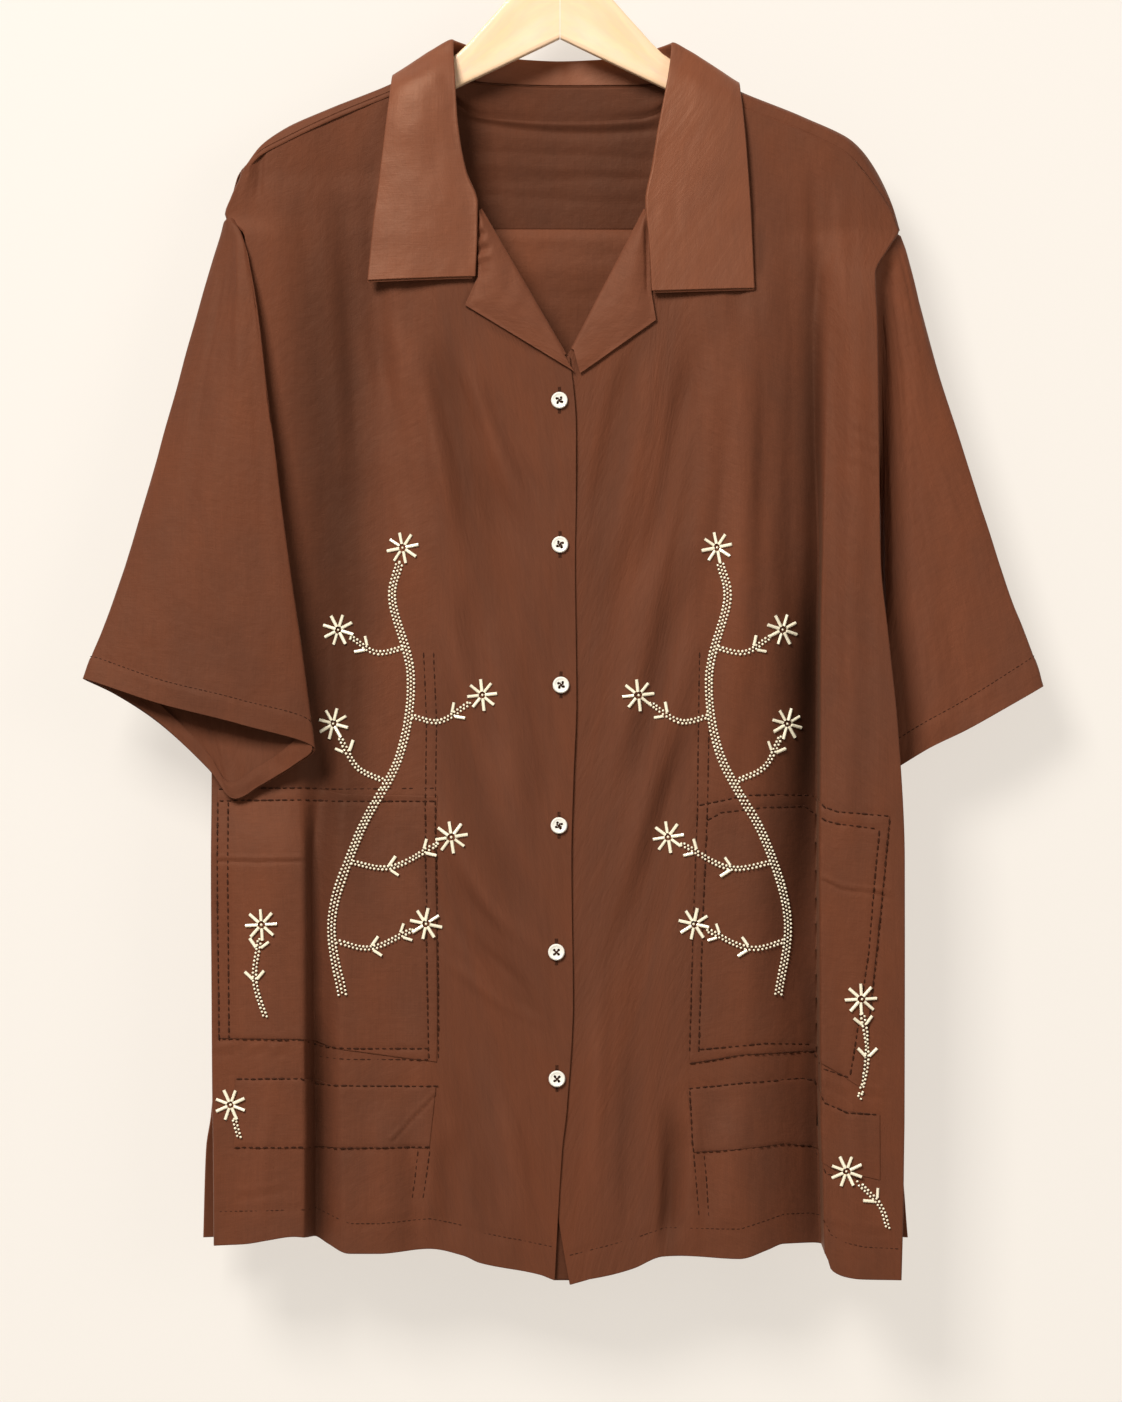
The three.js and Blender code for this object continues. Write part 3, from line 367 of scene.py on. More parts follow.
def plainMaterial(name, colour, roughness, drift=0.08, scale=300, coat=0.0, shine=0.5):
    material, tree, shader = newMaterial(name)
    place = tree.nodes.new("ShaderNodeTexCoord")
    noise = tree.nodes.new("ShaderNodeTexNoise")
    noise.inputs["Scale"].default_value = scale
    link(tree, place.outputs["Object"], noise.inputs["Vector"])
    blend = tree.nodes.new("ShaderNodeMix")
    blend.data_type = "RGBA"
    blend.inputs["A"].default_value = (*[c * (1 - drift) for c in colour], 1)
    blend.inputs["B"].default_value = (*[min(1, c * (1 + drift)) for c in colour], 1)
    link(tree, noise.outputs["Fac"], blend.inputs["Factor"])
    link(tree, blend.outputs["Result"], shader.inputs["Base Color"])
    shader.inputs["Specular IOR Level"].default_value = shine
    shader.inputs["Roughness"].default_value = roughness
    shader.inputs["Coat Weight"].default_value = coat
    return material


brownCloth = clothMaterial("brownCloth", (0.136, 0.0402, 0.0180), (0.102, 0.0353, 0.0190))
# painted light: the back panel, the revers and the collar use lighter copies of the brown cloth; the revers
# and collar also differ in gloss, the collar in sheen and roughness too
backCloth = clothMaterial("backCloth", (0.162, 0.0482, 0.0212), (0.122, 0.0422, 0.0224))
reversCloth = clothMaterial("reversCloth", (0.168, 0.0500, 0.0222), (0.128, 0.0436, 0.0232), gloss=0.26)
collarCloth = clothMaterial("collarCloth", (0.190, 0.0565, 0.0245), (0.146, 0.0495, 0.0258),
                            sheen=0.14, gloss=0.42, roughness=0.48, rumple=0.0005)
threadStuff = plainMaterial("brownThread", (0.044, 0.0145, 0.0068), 0.7, 0.2, shine=0.08)
buttonStuff = plainMaterial("buttonShell", (0.93, 0.89, 0.78), 0.32, 0.05, 120, 0.4)
beadStuff = plainMaterial("creamBead", (0.95, 0.86, 0.64), 0.25, 0.05, 500, 0.5)
print("materials ready")

# the two fronts
rightStops = [0, 0.25, 0.28, 0.38, 1]
rightSections = [
    [-148.1, -221.9, -9, -199.5, -9, -182, -9, -147, -9, 4.2, -12, -224, -1],
    [-217.4, -221.9, -8.5, -199.5, -9, -182, -9, -147, -9.5, 4.2, -14, -223.6, -1],
    [-235.6, -228.9, -8, -201.6, -10.5, -178.5, -11, -147, -12, 3.5, -15, -229.9, -1],
    [-248.9, -233.4, -7, -201.6, -11, -176.4, -12, -147, -13, 3.5, -16, -234.8, -1],
    [-263.6, -218.4, -12, -193.2, -12.5, -173.6, -13, -147, -15, 3.5, -17, -220.8, -11.5],
    [-309.1, -214.9, -13, -189, -13.5, -168, -15.5, -144.2, -18, 3.5, -19, -217.7, -12.5],
    [-400.1, -215.6, -13, -187.6, -14, -164.5, -16.5, -142.1, -20, 11.2, -21, -218.8, -12.5],
    [-428.1, -226.8, -12, -190.4, -14, -164.5, -16.5, -142.1, -21, 11.2, -22, -230.3, -11],
    [-443.5, -238.7, -10, -192.5, -14, -164.5, -16, -142.1, -21, 11.2, -22, -241.5, -1],
    [-491.1, -242.2, -12, -193.9, -14, -164.5, -15, -142.1, -22, 10.5, -23, -242.2, 0],
    [-589.1, -242.9, -13, -189, -15, -165.2, -14, -145.6, -23, 11.5, -24, -242.2, 0],
    [-645.1, -242.9, -15, -183.4, -19, -168, -14, -147.7, -24, 9.4, -25, -242.2, 0],
    [-701.1, -242.9, -24, -179.5, -32, -172.9, -15, -150.5, -25, 8, -26, -242.2, 0],
    [-799.1, -242.2, -28, -179.2, -36, -172.2, -14, -150.5, -27, 9.1, -28, -242.2, 0],
    [-872.6, -241.5, -30, -178.5, -38, -171.5, -14.5, -150.5, -29, 4.9, -29, -242.2, 0],
    [-904.1, -240.8, -31, -178.5, -39, -170.8, -16, -149.8, -30, 1.4, -30, -241.5, -12],
    [-1002.1, -240.1, -32, -179.2, -40, -170.1, -19, -148.4, -32, -4.2, -31, -239.4, -22],
]
leftStops = [0, 0.23, 0.27, 0.46, 0.9, 1]
leftSections = [
    [-155.1, 237.3, -8.5, 203, -9, 189, -9, 126, -9.5, 14, -10, -8.4, -10, 236.6, -4],
    [-259.4, 236.6, -8.5, 203, -12, 189, -12, 126, -15, 14, -14, -8.4, -14, 235.9, -4],
    [-272, 229.6, -14, 197.4, -16, 183.4, -15, 126, -16, 14, -15, -8.4, -15, 228.5, -9],
    [-291.6, 219.4, -24, 192.5, -22, 178.5, -17, 126, -18, 14, -16, -8.4, -16, 218.4, -16],
    [-327.3, 220.5, -30, 189.7, -27, 175.7, -18, 126, -22, 15, -17.5, -8.4, -17.5, 219.4, -20],
    [-407.1, 221.5, -35, 186.2, -31, 172.9, -16, 129.5, -24.5, 16, -19.2, -9.8, -19.2, 219.8, -23],
    [-443.5, 221.9, -36.5, 184.8, -33, 171.5, -14.5, 129.5, -25, 16, -20, -9.8, -20, 216.3, -1],
    [-491.1, 222.6, -38, 183.4, -35, 170.1, -13, 129.5, -26, 16, -21, -9.8, -20.8, 214.9, 0],
    [-547.1, 228.2, -40, 182.3, -37, 170.1, -11, 129.5, -27, 16, -21.6, -9.8, -21.3, 215.6, 0],
    [-610.1, 234.5, -42, 182, -39, 170.8, -9.5, 129.5, -28, 16, -22.3, -9.8, -22, 219.1, 0],
    [-701.1, 239, -44, 181.3, -42, 172.2, -9, 129.5, -29, 14, -24, -9.8, -23.8, 222.6, 0],
    [-880.3, 238.7, -46, 182, -46, 173.6, -10, 126, -31, 12, -27, -9.1, -26.8, 224, 0],
    [-904.1, 238.3, -46, 182.7, -46.5, 174.3, -10.5, 126, -31.5, 12, -28, -7, -27.8, 226.8, -12],
    [-945.4, 237.6, -46.5, 183.4, -47, 175.7, -11, 126.7, -32, 14, -28.8, -1.8, -28.6, 232.4, -28],
    [-1002.1, 235.9, -47, 184.8, -48, 177.1, -12, 127.4, -33, 22, -29.4, 7.7, -29, 233.1, -36],
]
rightTop = [
    [-221.9, -218.8], [-210, -207.2], [-192.5, -197.8], [-168, -184.1], [-121.1, -164.6],
    [-91, -152.3], [-79.8, -181.7], [-58.1, -244], [4.2, -349],
]
leftTop = [
    [-8.4, -364], [7, -345.5], [60.2, -244.7], [75.6, -190.1], [91, -160.7], [128.8, -175],
    [169.4, -190.4], [201.6, -207.2], [212.1, -218.8], [231.7, -247.1], [236.6, -259.4],
]
rightHem = [
    [-240.8, -969.2], [-219.8, -967.8], [-203.7, -965], [-184.8, -962.2], [-171.5, -963.6],
    [-161.7, -968.5], [-146.3, -974.8], [-126.7, -974.8], [-91, -971.3], [-67.2, -976.2],
    [-56, -981.1], [-14, -989.5], [-4.9, -993],
]
leftHem = [
    [7.7, -996.5], [33.6, -990.2], [51.1, -985.3], [71.4, -976.9], [84.7, -976.2], [125.3, -978.3],
    [144.2, -972.7], [156.1, -968.9], [176.4, -968.9], [184.1, -973.4], [188.3, -984.6],
    [198.8, -989.5], [208.6, -990.9], [235.9, -991.6],
]
# folds: x and height of the start, middle and end, half width, rise towards the viewer
rightFolds = [
    [-84, -330.1, -63, -414.1, -24.5, -498.1, 18.2, -3],
    [-115.5, -309.1, -108.5, -435.1, -94.5, -547.1, 16.8, 2.2],
    [-173.6, -204.1, -161, -330.1, -150.5, -463.1, 14, 2],
    [-133, -176.1, -131.6, -281.1, -122.5, -393.1, 14, -1.8],
    [-77, -519.1, -38.5, -659.1, -8.4, -750.1, 21, 3.2],
    [-84, -694.1, -35, -785.1, -1.4, -841.1, 16.8, -2.8],
    [-122.5, -862.1, -117.6, -925.1, -115.5, -974.1, 18.2, 2.4],
    [-73.5, -883.1, -77, -932.1, -79.1, -974.1, 15.4, -2.2],
    [-37.1, -855.1, -33.6, -925.1, -28, -988.1, 16.8, 2],
]
leftFolds = [
    [126, -309.1, 127.4, -449.1, 130.2, -589.1, 16.8, 3.2],
    [92.4, -330.1, 59.5, -512.1, 36.4, -694.1, 18.2, 3.2],
    [99.4, -330.1, 71.4, -435.1, 56, -519.1, 14, -2.6],
    [91, -589.1, 70, -694.1, 56, -799.1, 18.2, -2.4],
    [86.8, -876.1, 79.8, -918.1, 75.6, -974.1, 11.2, -3],
    [119, -862.1, 117.6, -925.1, 116.2, -974.1, 16.8, 2.4],
    [28, -799.1, 29.4, -904.1, 30.8, -981.1, 16.8, 2],
    [150.5, -295.1, 145.6, -393.1, 141.4, -491.1, 11.2, -2],
    [211.4, -449.1, 210, -589.1, 211.4, -729.1, 12.6, -2],
]
# smaller creases that the solids leave to this script
rightCreases = [
    [-131.6, -320, -115.5, -393, -98, -480, 12, -1.7],
    [-112, -314, -91, -393, -73, -480, 13, 1.9],
    [-94.5, -334, -75.6, -414, -56, -505, 12, -2.3],
    [-73.5, -336, -47.6, -400, -21, -470, 12, 1.9],
    [-56, -356, -33.6, -414, -8.4, -460, 10, -1.4],
    [-68.6, -505, -56, -575, -38.5, -650, 13, -2.1],
    [-52.5, -525, -36.4, -603, -21, -690, 13, 2.1],
    [-28, -540, -14, -617, -5.6, -680, 9, -1.4],
    [-112, -670, -77, -740, -14, -800, 11, -1.8],
    [-94.5, -645, -56, -722, -8, -775, 12, 2.1],
    [-84, -765, -42, -799, -5, -820, 10, 1.3],
    [-108.5, -790, -94.5, -876, -87.5, -985, 14, 1.9],
    [-77, -835, -57.4, -911, -42, -985, 13, -2.0],
    [-56, -825, -31.5, -904, -17.5, -985, 11, 1.5],
    [-150, -200, -147, -330, -142, -520, 12, -1.5],
    [-122, -190, -118, -280, -108, -400, 11, 1.3],
    [-134, -430, -128, -560, -124, -700, 14, 1.5],
    [-200, -840, -206, -900, -212, -985, 9, 1.1],
    [-225, -690, -222, -780, -220, -860, 8, 0.8],
    [-5, -352, -5.5, -600, -7, -985, 1.8, -0.35],
    [-214, -178, -218, -205, -221, -238, 5, 1.6],
    [-206, -178, -210, -208, -212, -246, 5, -1.6],
]
leftCreases = [
    [54.6, -330, 36.4, -400, 22.4, -480, 11, -1.8],
    [71.4, -325, 54.6, -414, 29.4, -530, 13, 2.3],
    [93.8, -315, 81.2, -414, 49, -540, 13, -2.5],
    [113.4, -318, 105, -414, 78.4, -550, 14, 2.1],
    [92.4, -475, 66.5, -575, 36.4, -680, 14, -2.3],
    [98, -520, 71.4, -624, 43.4, -725, 14, 2.4],
    [93.8, -600, 63, -694, 32.2, -790, 13, -2.1],
    [126, -400, 122.5, -547, 108.5, -700, 15, 1.8],
    [75.6, -862, 75.6, -925, 72.8, -985, 8, -2.8],
    [91, -855, 92.4, -925, 91, -985, 9, 1.8],
    [28, -755, 25.2, -855, 21, -960, 10, 1.5],
    [56, -755, 51.8, -855, 45.5, -980, 12, -1.6],
    [158, -222, 158, -400, 158, -600, 16, -2.5],
    [150, -240, 150, -420, 152, -640, 12, 1.8],
    [203, -290, 204.4, -463, 206.5, -660, 13, 1.7],
    [176, -205, 178, -260, 180, -330, 8, -1.6],
    [196, -215, 196, -280, 195, -350, 9, 1.3],
    [118, -195, 122, -270, 126, -350, 11, -1.3],
    [205, -760, 204, -860, 206, -980, 9, 0.9],
]
# the right front falls back broadly towards its sleeve
rightHollows = [
    [-142, -140, -136, -400, -132, -780, 62, -8],
]
leftHollows = [
    [186, -205, 186, -420, 186, -740, 30, -6],
]
# painted shade rows, in the same form as the folds, with a share of painted darkness in place of the rise: in
# valleys, pleat pits and under the revers and collar; a negative share is painted light
rightPaintedShades = [
    [-213, -660, -213, -800, -213, -1010, 22, -0.08],
    [-62, -320, -32, -337, -2, -352, 6, 0.3],
    [-136, -301, -98, -300, -60, -300, 5, 0.28],
    [-172, -150, -160, -400, -152, -790, 42, 0.46],
    [-168, -780, -168, -900, -166, -1010, 12, 0.45],
    [-90, -290, -70, -420, -40, -540, 26, 0.16],
    [-84, -560, -60, -660, -20, -760, 22, 0.14],
    [-120, -860, -112, -930, -108, -1010, 14, 0.14],
]
leftPaintedShades = [
    [14, -365, 40, -349, 68, -330, 4.5, 0.22],
    [66, -310, 100, -309, 135, -306, 4.5, 0.2],
    [140, -250, 140, -275, 139, -300, 4.5, 0.22],
    [177, -225, 177, -420, 173, -760, 15, 0.5],
    [170, -470, 165, -600, 162, -800, 27, 0.42],
    [177, -740, 177, -880, 178, -1010, 12, 0.45],
    [208, -640, 208, -800, 208, -1010, 24, -0.08],
    [60, -300, 40, -420, 22, -560, 20, 0.14],
    [100, -360, 76, -520, 50, -700, 16, 0.12],
    [76, -850, 76, -930, 74, -1010, 12, 0.2],
]
# the pit of the left pleat lies behind its lip, so its wall does not show from the front
for row in leftSections:
    row[5] += 0.9 * float(ease((-330 - row[0]) / 170)) * (row[3] - row[5])


class Front:
    def __init__(self, settings):
        self.curves = columnCurves(settings["sections"])
        self.stops = settings["stops"]
        self.folds = settings["folds"]
        self.creases = settings["creases"]
        self.hollows = settings["hollows"]
        self.paintedShades = settings["paintedShades"]
        self.lines = settings["lines"]
        self.tucks = settings["tucks"]
        self.lip = settings["lip"]
        self.seed = settings["seed"]
        self.topU, self.topZ = self.edgeTable(settings["top"])
        self.hemU, self.hemZ = self.edgeTable(settings["hem"])

    def columns(self, z):
        values = self.curves(np.asarray(z, float))
        n = len(self.stops)
        return np.stack(values[0:2 * n:2]), np.stack(values[1:2 * n:2]), values[2 * n], values[2 * n + 1]

    def xAt(self, u, z):
        xs = self.columns(z)[0]
        x = xs[0].copy()
        for i in range(len(self.stops) - 1):
            a, b = self.stops[i], self.stops[i + 1]
            x = x + np.clip((u - a) / (b - a), 0, 1) * (xs[i + 1] - xs[i])
        return x

    def uAt(self, x, z):
        xs = self.columns(z)[0]
        u = np.zeros(np.broadcast(np.asarray(x), xs[0]).shape)
        for i in range(len(self.stops) - 1):
            u = u + np.clip((x - xs[i]) / (xs[i + 1] - xs[i]), 0, 1) * (self.stops[i + 1] - self.stops[i])
        return u

    def edgeTable(self, edge):
        places = sorted((float(self.uAt(np.array(x), np.array(z))), z) for x, z in edge)
        kept = [p for i, p in enumerate(places) if i == 0 or p[0] > places[i - 1][0] + 1e-4]
        return [p[0] for p in kept], [p[1] for p in kept]

    def topAt(self, u):
        return linearAt(self.topU, self.topZ, u)

    def hemAt(self, u):
        return monotoneAt(self.hemU, self.hemZ, u)

    def pointAt(self, u, z):
        u, z = np.broadcast_arrays(np.asarray(u, float), np.asarray(z, float))
        xs, ys, _, _ = self.columns(z)
        x = self.xAt(u, z)
        calm = ease((1 - u) / 0.14) * ease(u / 0.08)
        y = monotoneAt(self.stops, ys, u) - calm * foldRise(self.folds, x, z)
        y = y - foldRise(self.creases, x, z) * ease(u / 0.05) - foldRise(self.hollows, x, z) * ease(u / 0.22)
        quiet = ease((1 - u) / 0.06)
        y = y - quiet * 0.8 * softNoise(x / 26, z / 70, self.seed)
        y = y - quiet * 0.13 * softNoise(x / 9, z / 20, self.seed + 1)
        pucker = 0.42 + 0.3 * softNoise(x / 5, z / 5, self.seed + 2)
        y = y + pucker * np.exp(-(lineDistance(self.lines, x, z) / 1.5) ** 2)
        y = y - 0.8 * np.exp(-(lineDistance(self.tucks, x, z) / 1.3) ** 2)
        y = y + 0.8 * np.exp(-(lineDistance(self.tucks, x, z + 2.4) / 1.3) ** 2)
        return np.stack([x, y, z], axis=-1)

    # painted shade: the shade rows past the pleat's lip, a little painted shade in fold valleys and painted
    # light on ridges
    def paintedShadeAt(self, u, z):
        u, z = np.broadcast_arrays(np.asarray(u, float), np.asarray(z, float))
        x = self.xAt(u, z)
        beyondLip = ease((u - self.lip + 0.035) / 0.02)
        rise = foldRise(self.creases, x, z) + foldRise(self.folds, x, z)
        return foldRise(self.paintedShades, x, z) * beyondLip - 0.03 * rise

    def seamAt(self, z):
        _, _, sx, sy = self.columns(z)
        return np.stack([sx, sy, np.asarray(z, float)], axis=-1)

    def normalAt(self, u, z):
        across = self.pointAt(u + 0.002, z) - self.pointAt(u - 0.002, z)
        along = self.pointAt(u, z + 0.6) - self.pointAt(u, z - 0.6)
        normal = np.cross(across, along)
        normal = normal / np.linalg.norm(normal, axis=-1, keepdims=True)
        return np.where(normal[..., 1:2] > 0, -normal, normal)


# lines of running stitch on the fronts, x and height
rightStitches = [
    [(-95.2, -555.5), (-93.1, -603.1), (-93.8, -659.1), (-93.1, -750.1), (-91.7, -839.7)],
    [(-88.2, -555.5), (-86.1, -603.1), (-86.8, -659.1), (-85.4, -750.1), (-84.7, -841.1)],
    [(-238.7, -651.4), (-178.5, -650.7), (-157.5, -651.4), (-88.9, -650.7)],
    [(-238.7, -659.8), (-178.5, -659.1), (-157.5, -659.8), (-88.9, -659.8)],
    [(-239, -659.8), (-238.7, -729.1), (-237.3, -825)],
    [(-231.7, -659.8), (-231.3, -729.1), (-230.3, -825)],
    [(-236.6, -825), (-179.9, -825.7), (-169.4, -830.6), (-147, -832), (-91, -832)],
    [(-169.4, -838.3), (-147, -839.7), (-91, -839.7)],
    [(-225.4, -853), (-179.9, -852.3), (-169.4, -857.2), (-157.5, -857.9), (-86.8, -858.2)],
    [(-226.8, -900.6), (-179.9, -899.9), (-169.4, -902), (-147, -901.3), (-91, -900.2)],
    [(-98.7, -902.7), (-100.8, -921.6), (-103.2, -937.7)],
    [(-90.6, -902.7), (-93.1, -921.6), (-95.5, -937.7)],
]
rightHemStitch = [[(-238, -945.4), (-219.8, -944.7), (-179.9, -943.3), (-170.8, -944), (-161.7, -947.5),
    (-146.3, -953.8), (-126.7, -953.8), (-107.1, -951.7), (-91, -950.3), (-67.2, -955.2), (-56, -960.1),
    (-28, -965), (-5.6, -969.9)]]
leftStitches = [
    [(97.3, -555.5), (96.6, -610.1), (95.9, -664), (92.8, -744.5), (90.3, -834.1)],
    [(104.6, -555.5), (103.9, -610.1), (102.9, -664), (99.4, -744.5), (96.6, -834.1)],
    [(96.6, -662.6), (128.8, -655.6), (151.2, -654.9), (176.4, -655.6), (183.4, -663.3), (193.2, -666.8),
     (228.2, -669.6)],
    [(102.2, -673.1), (112.7, -667.5), (141.4, -664), (170.8, -663.3), (184.8, -673.1), (193.2, -675.2),
     (221.9, -678.7)],
    [(228.9, -671), (224.7, -715.1), (220.5, -757.1), (214.9, -807.5), (209.3, -857.9)],
    [(221.9, -679.4), (217.7, -722.1), (214.2, -764.1), (207.9, -807.5), (201.2, -850.9)],
    [(90.3, -842.5), (128.8, -836.2), (176.4, -834.8), (183.4, -845.3), (200.9, -850.9)],
    [(96.6, -832.7), (141.4, -828.5), (175.7, -829.9)],
    [(88.9, -860), (128.8, -855.8), (167.3, -853.7), (177.8, -855.1), (183.4, -868.4), (199.5, -875.4),
     (221.9, -876.8)],
    [(93.1, -904.1), (128.8, -902), (154.7, -899.2), (177.1, -901.3), (184.8, -918.1), (209.3, -921.6)],
    [(90.3, -860.7), (92.4, -897.1), (96.6, -947.5)],
    [(100.4, -905.5), (102.2, -925.1), (103.6, -947.5)],
]
leftHemStitch = [[(6.3, -976.2), (33.6, -969.2), (51.1, -964.3), (71.4, -957.3), (84.7, -956.6),
    (108.5, -957.3), (125.3, -957.3), (144.2, -951.7), (156.1, -948.2), (175.7, -948.2), (183.4, -950.3),
    (188.3, -960.1), (198.8, -965.7), (211.4, -968.5), (235.2, -969.9)]]
# narrow tucks pressed into the side panels
rightTucks = [
    [(-239.4, -699), (-210, -699.7), (-179.9, -699)],
    [(-240.8, -831.3), (-210, -831.3), (-179.9, -832)],
    [(-223.3, -932.8), (-208.6, -930.7), (-191.1, -927.9)],
    [(-88.2, -863.5), (-101.5, -877.5), (-116.9, -894.3)],
]
leftTucks = [
    [(183.4, -712.3), (196.7, -718.6), (228.9, -722.1)],
    [(183.4, -853.7), (196.7, -858.6), (221.9, -860.7)],
    [(184.8, -950.3), (203, -953.1), (225.4, -955.9)],
    [(204, -398), (212, -400), (219, -405)],
    [(206, -409), (213, -412), (220, -415)],
    [(203, -421), (211, -424), (219, -430)],
    [(207, -380), (213, -385), (218, -391)],
]
# lip: where the painted shade of the shade rows begins, past the lip of the left front's pleat
rightFrontSet = {
    "sections": rightSections, "stops": rightStops, "top": rightTop, "hem": rightHem,
    "folds": rightFolds, "creases": rightCreases, "hollows": rightHollows, "paintedShades": rightPaintedShades,
    "lines": rightStitches + rightHemStitch, "tucks": rightTucks, "lip": -1, "seed": 11,
}
leftFrontSet = {
    "sections": leftSections, "stops": leftStops, "top": leftTop, "hem": leftHem,
    "folds": leftFolds, "creases": leftCreases, "hollows": leftHollows, "paintedShades": leftPaintedShades,
    "lines": leftStitches + leftHemStitch, "tucks": leftTucks, "lip": 0.27, "seed": 23,
}
frontRight = Front(rightFrontSet)
frontLeft = Front(leftFrontSet)


facingSet = {"fromX": -4.6, "toX": 7, "top": -925, "foot": -993.6, "behind": 1.5, "shade": 0.3}


def closingFacing():
    # the right front's inner turning, seen in the slit that opens above the hem
    s = facingSet
    x = np.linspace(s["fromX"], s["toX"], 12)[None, :] + np.zeros((44, 1))
    z = np.linspace(s["top"], s["foot"], 44)[:, None] + np.zeros((1, 12))
    over = frontRight.pointAt(frontRight.uAt(x, z), z)[..., 1]
    under = frontLeft.pointAt(frontLeft.uAt(x, z), z)[..., 1]
    points = np.stack([x, np.maximum(over, under) + s["behind"], z], axis=-1)
    # painted shade over the whole facing, which lies in the slit
    shade = np.full(x.shape, s["shade"])
    facing = sheetObject("frontRightFacing", points, clothWall, brownCloth, paintedShade=shade)
    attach(facing, "root")
    return facing


def frontPiece(name, front, counts, node, withPieces=()):
    u = fineSteps(front.stops, counts)[None, :]
    v = fineSteps([0, 1], [230], 0.0008)[:, None]
    z = mix(front.topAt(u), front.hemAt(u), v)
    face = front.pointAt(u, z)
    place = np.array([1, 0.97, 0.82, 0.66, 0.5, 0.36, 0.22, 0.1])[None, :, None]
    edgeZ = z[:, :1]
    fold = face[:, :1]
    near = front.pointAt(np.array(0.012), edgeZ[:, 0])[:, None]
    seam = front.seamAt(edgeZ[:, 0])[:, None]
    out = (fold - near) * np.array([1, 0, 1])
    out = out / np.linalg.norm(out, axis=2, keepdims=True) * 1.6
    bend = fold + out
    bend[..., 1] = mix(fold[..., 1], seam[..., 1], 0.3)
    turn = fold * (1 - place) ** 2 + bend * 2 * place * (1 - place) + seam * place ** 2
    # painted shade on the face of the front, none on its turned edge
    paintedShade = np.concatenate([np.zeros(turn.shape[:2]), front.paintedShadeAt(u, z)], axis=1)
    piece = sheetObject(name, np.concatenate([turn, face], axis=1), clothWall, brownCloth, paintedShade=paintedShade)
    declareCloth(piece, node)


frontPiece("frontRightCloth", frontRight, [34, 9, 14, 86], "front_right", [closingFacing()])
frontPiece("frontLeftCloth", frontLeft, [32, 11, 24, 62, 12], "front_left")
print("fronts made")

# patches on the fronts
patchSet = {
    "pocketRightPatch": {
        "front": frontRight, "base": "frontRightCloth", "node": "pocket_right", "rows": 110, "cols": 96,
        "top": [[-239.4, -650.7], [-180, -650.7], [-150, -655], [-85.4, -656]],
        "bottom": [[-238, -825], [-180, -825], [-157.5, -832], [-86, -841.5]],
    },
    "lowerPatchRight": {
        "front": frontRight, "base": "frontRightCloth", "node": "lower_patch_right", "rows": 34, "cols": 90,
        "top": [[-226, -852.3], [-180, -852.3], [-157.5, -857.9], [-86.5, -858.6]],
        "bottom": [[-227, -901], [-157, -901], [-91, -901.3]],
    },
    "pocketLeftPatch": {
        "front": frontLeft, "base": "frontLeftCloth", "node": "pocket_left", "rows": 110, "cols": 90,
        "top": [[96.6, -662.6], [128.8, -655.6], [177, -655.6], [193, -667], [229, -669.6]],
        "bottom": [[90.3, -842.5], [128.8, -836.2], [178.5, -834.8], [190, -846], [209.3, -858.6]],
    },
    "lowerPatchLeft": {
        "front": frontLeft, "base": "frontLeftCloth", "node": "lower_patch_left", "rows": 34, "cols": 90,
        "top": [[88.6, -860], [128.8, -855.8], [178, -854.5], [190, -872], [221.9, -876.8]],
        "bottom": [[93.1, -904.1], [154.7, -899.2], [178.5, -902], [190, -915], [222, -922]],
    },
}
patchLayer = 0.72
for name, patch in patchSet.items():
    front = patch["front"]
    topU, topZ = front.edgeTable(patch["top"])
    bottomU, bottomZ = front.edgeTable(patch["bottom"])
    v = fineSteps([0, 1], [patch["rows"]], 0.004)[:, None]
    place = fineSteps([0, 1], [patch["cols"]], 0.004)[None, :]
    u = mix(mix(topU[0], bottomU[0], v), mix(topU[-1], bottomU[-1], v), place)
    z = mix(linearAt(topU, topZ, u), linearAt(bottomU, bottomZ, u), v)
    points = front.pointAt(u, z) + front.normalAt(u, z) * patchLayer
    # the patch carries the front's painted shade
    piece = sheetObject(name, points, patchWall, brownCloth, paintedShade=front.paintedShadeAt(u, z))
    declareCloth(piece, patch["node"])
print("patches made")

# back panel and yoke
backSections = [
    [-256.9, -233, 1, 18.5, 235.5, 5.5],
    [-309, -217, 9.5, 20.5, 222, 12.5],
    [-400, -219, 9, 22.5, 218.5, 9.5],
    [-430, -231, 6, 23, 217, 5],
    [-443.9, -241.2, 0.9, 23, 216.3, 0.9],
    [-491.1, -242.2, 0.9, 23.5, 214.9, 0.9],
    [-589.1, -242.2, 0.9, 24, 217.5, 0.9],
    [-701.1, -242.2, 0.9, 25, 222.6, 0.9],
    [-850, -242.8, 0.9, 26, 224, 0.9],
    [-880.3, -245, 1.2, 26, 229, 1.2],
    [-904.1, -248.6, 3, 26, 238.5, 3],
    [-967, -250.8, 6, 27, 244.5, 6],
]
backTop = np.array([
    [-234.3, 0.2, -255.4], [-229, 7, -256.9], [-217, 11, -257.1], [-196, 14, -257.1],
    [-161, 16, -257.1], [-121, 17, -257.1], [0, 19, -257.1], [98, 17.5, -257.8],
    [168, 16, -259.9], [200, 14, -261.3], [215.6, 12, -262.7], [229.6, 8, -264.8], [235.5, 5, -266.3],
])
backFoot = -967
backFolds = [
    [-120, -270, -126, -600, -132, -985, 26, 4],
    [-30, -300, -26, -640, -20, -985, 30, -4],
    [70, -280, 78, -620, 84, -985, 26, 4],
    [150, -320, 152, -640, 150, -985, 24, -4],
]
backCreases = [
    [-180, -300, -176, -430, -170, -600, 8, 0.9],
    [-80, -290, -72, -420, -60, -560, 8, -0.9],
    [20, -270, 26, -420, 30, -620, 9, 0.9],
    [110, -300, 118, -450, 122, -640, 8, -0.8],
    [-150, -620, -156, -780, -160, -960, 9, -1.0],
    [-70, -600, -64, -780, -60, -960, 8, 0.9],
    [40, -640, 44, -800, 48, -960, 9, -0.9],
    [190, -560, 194, -720, 196, -930, 9, 1.0],
]


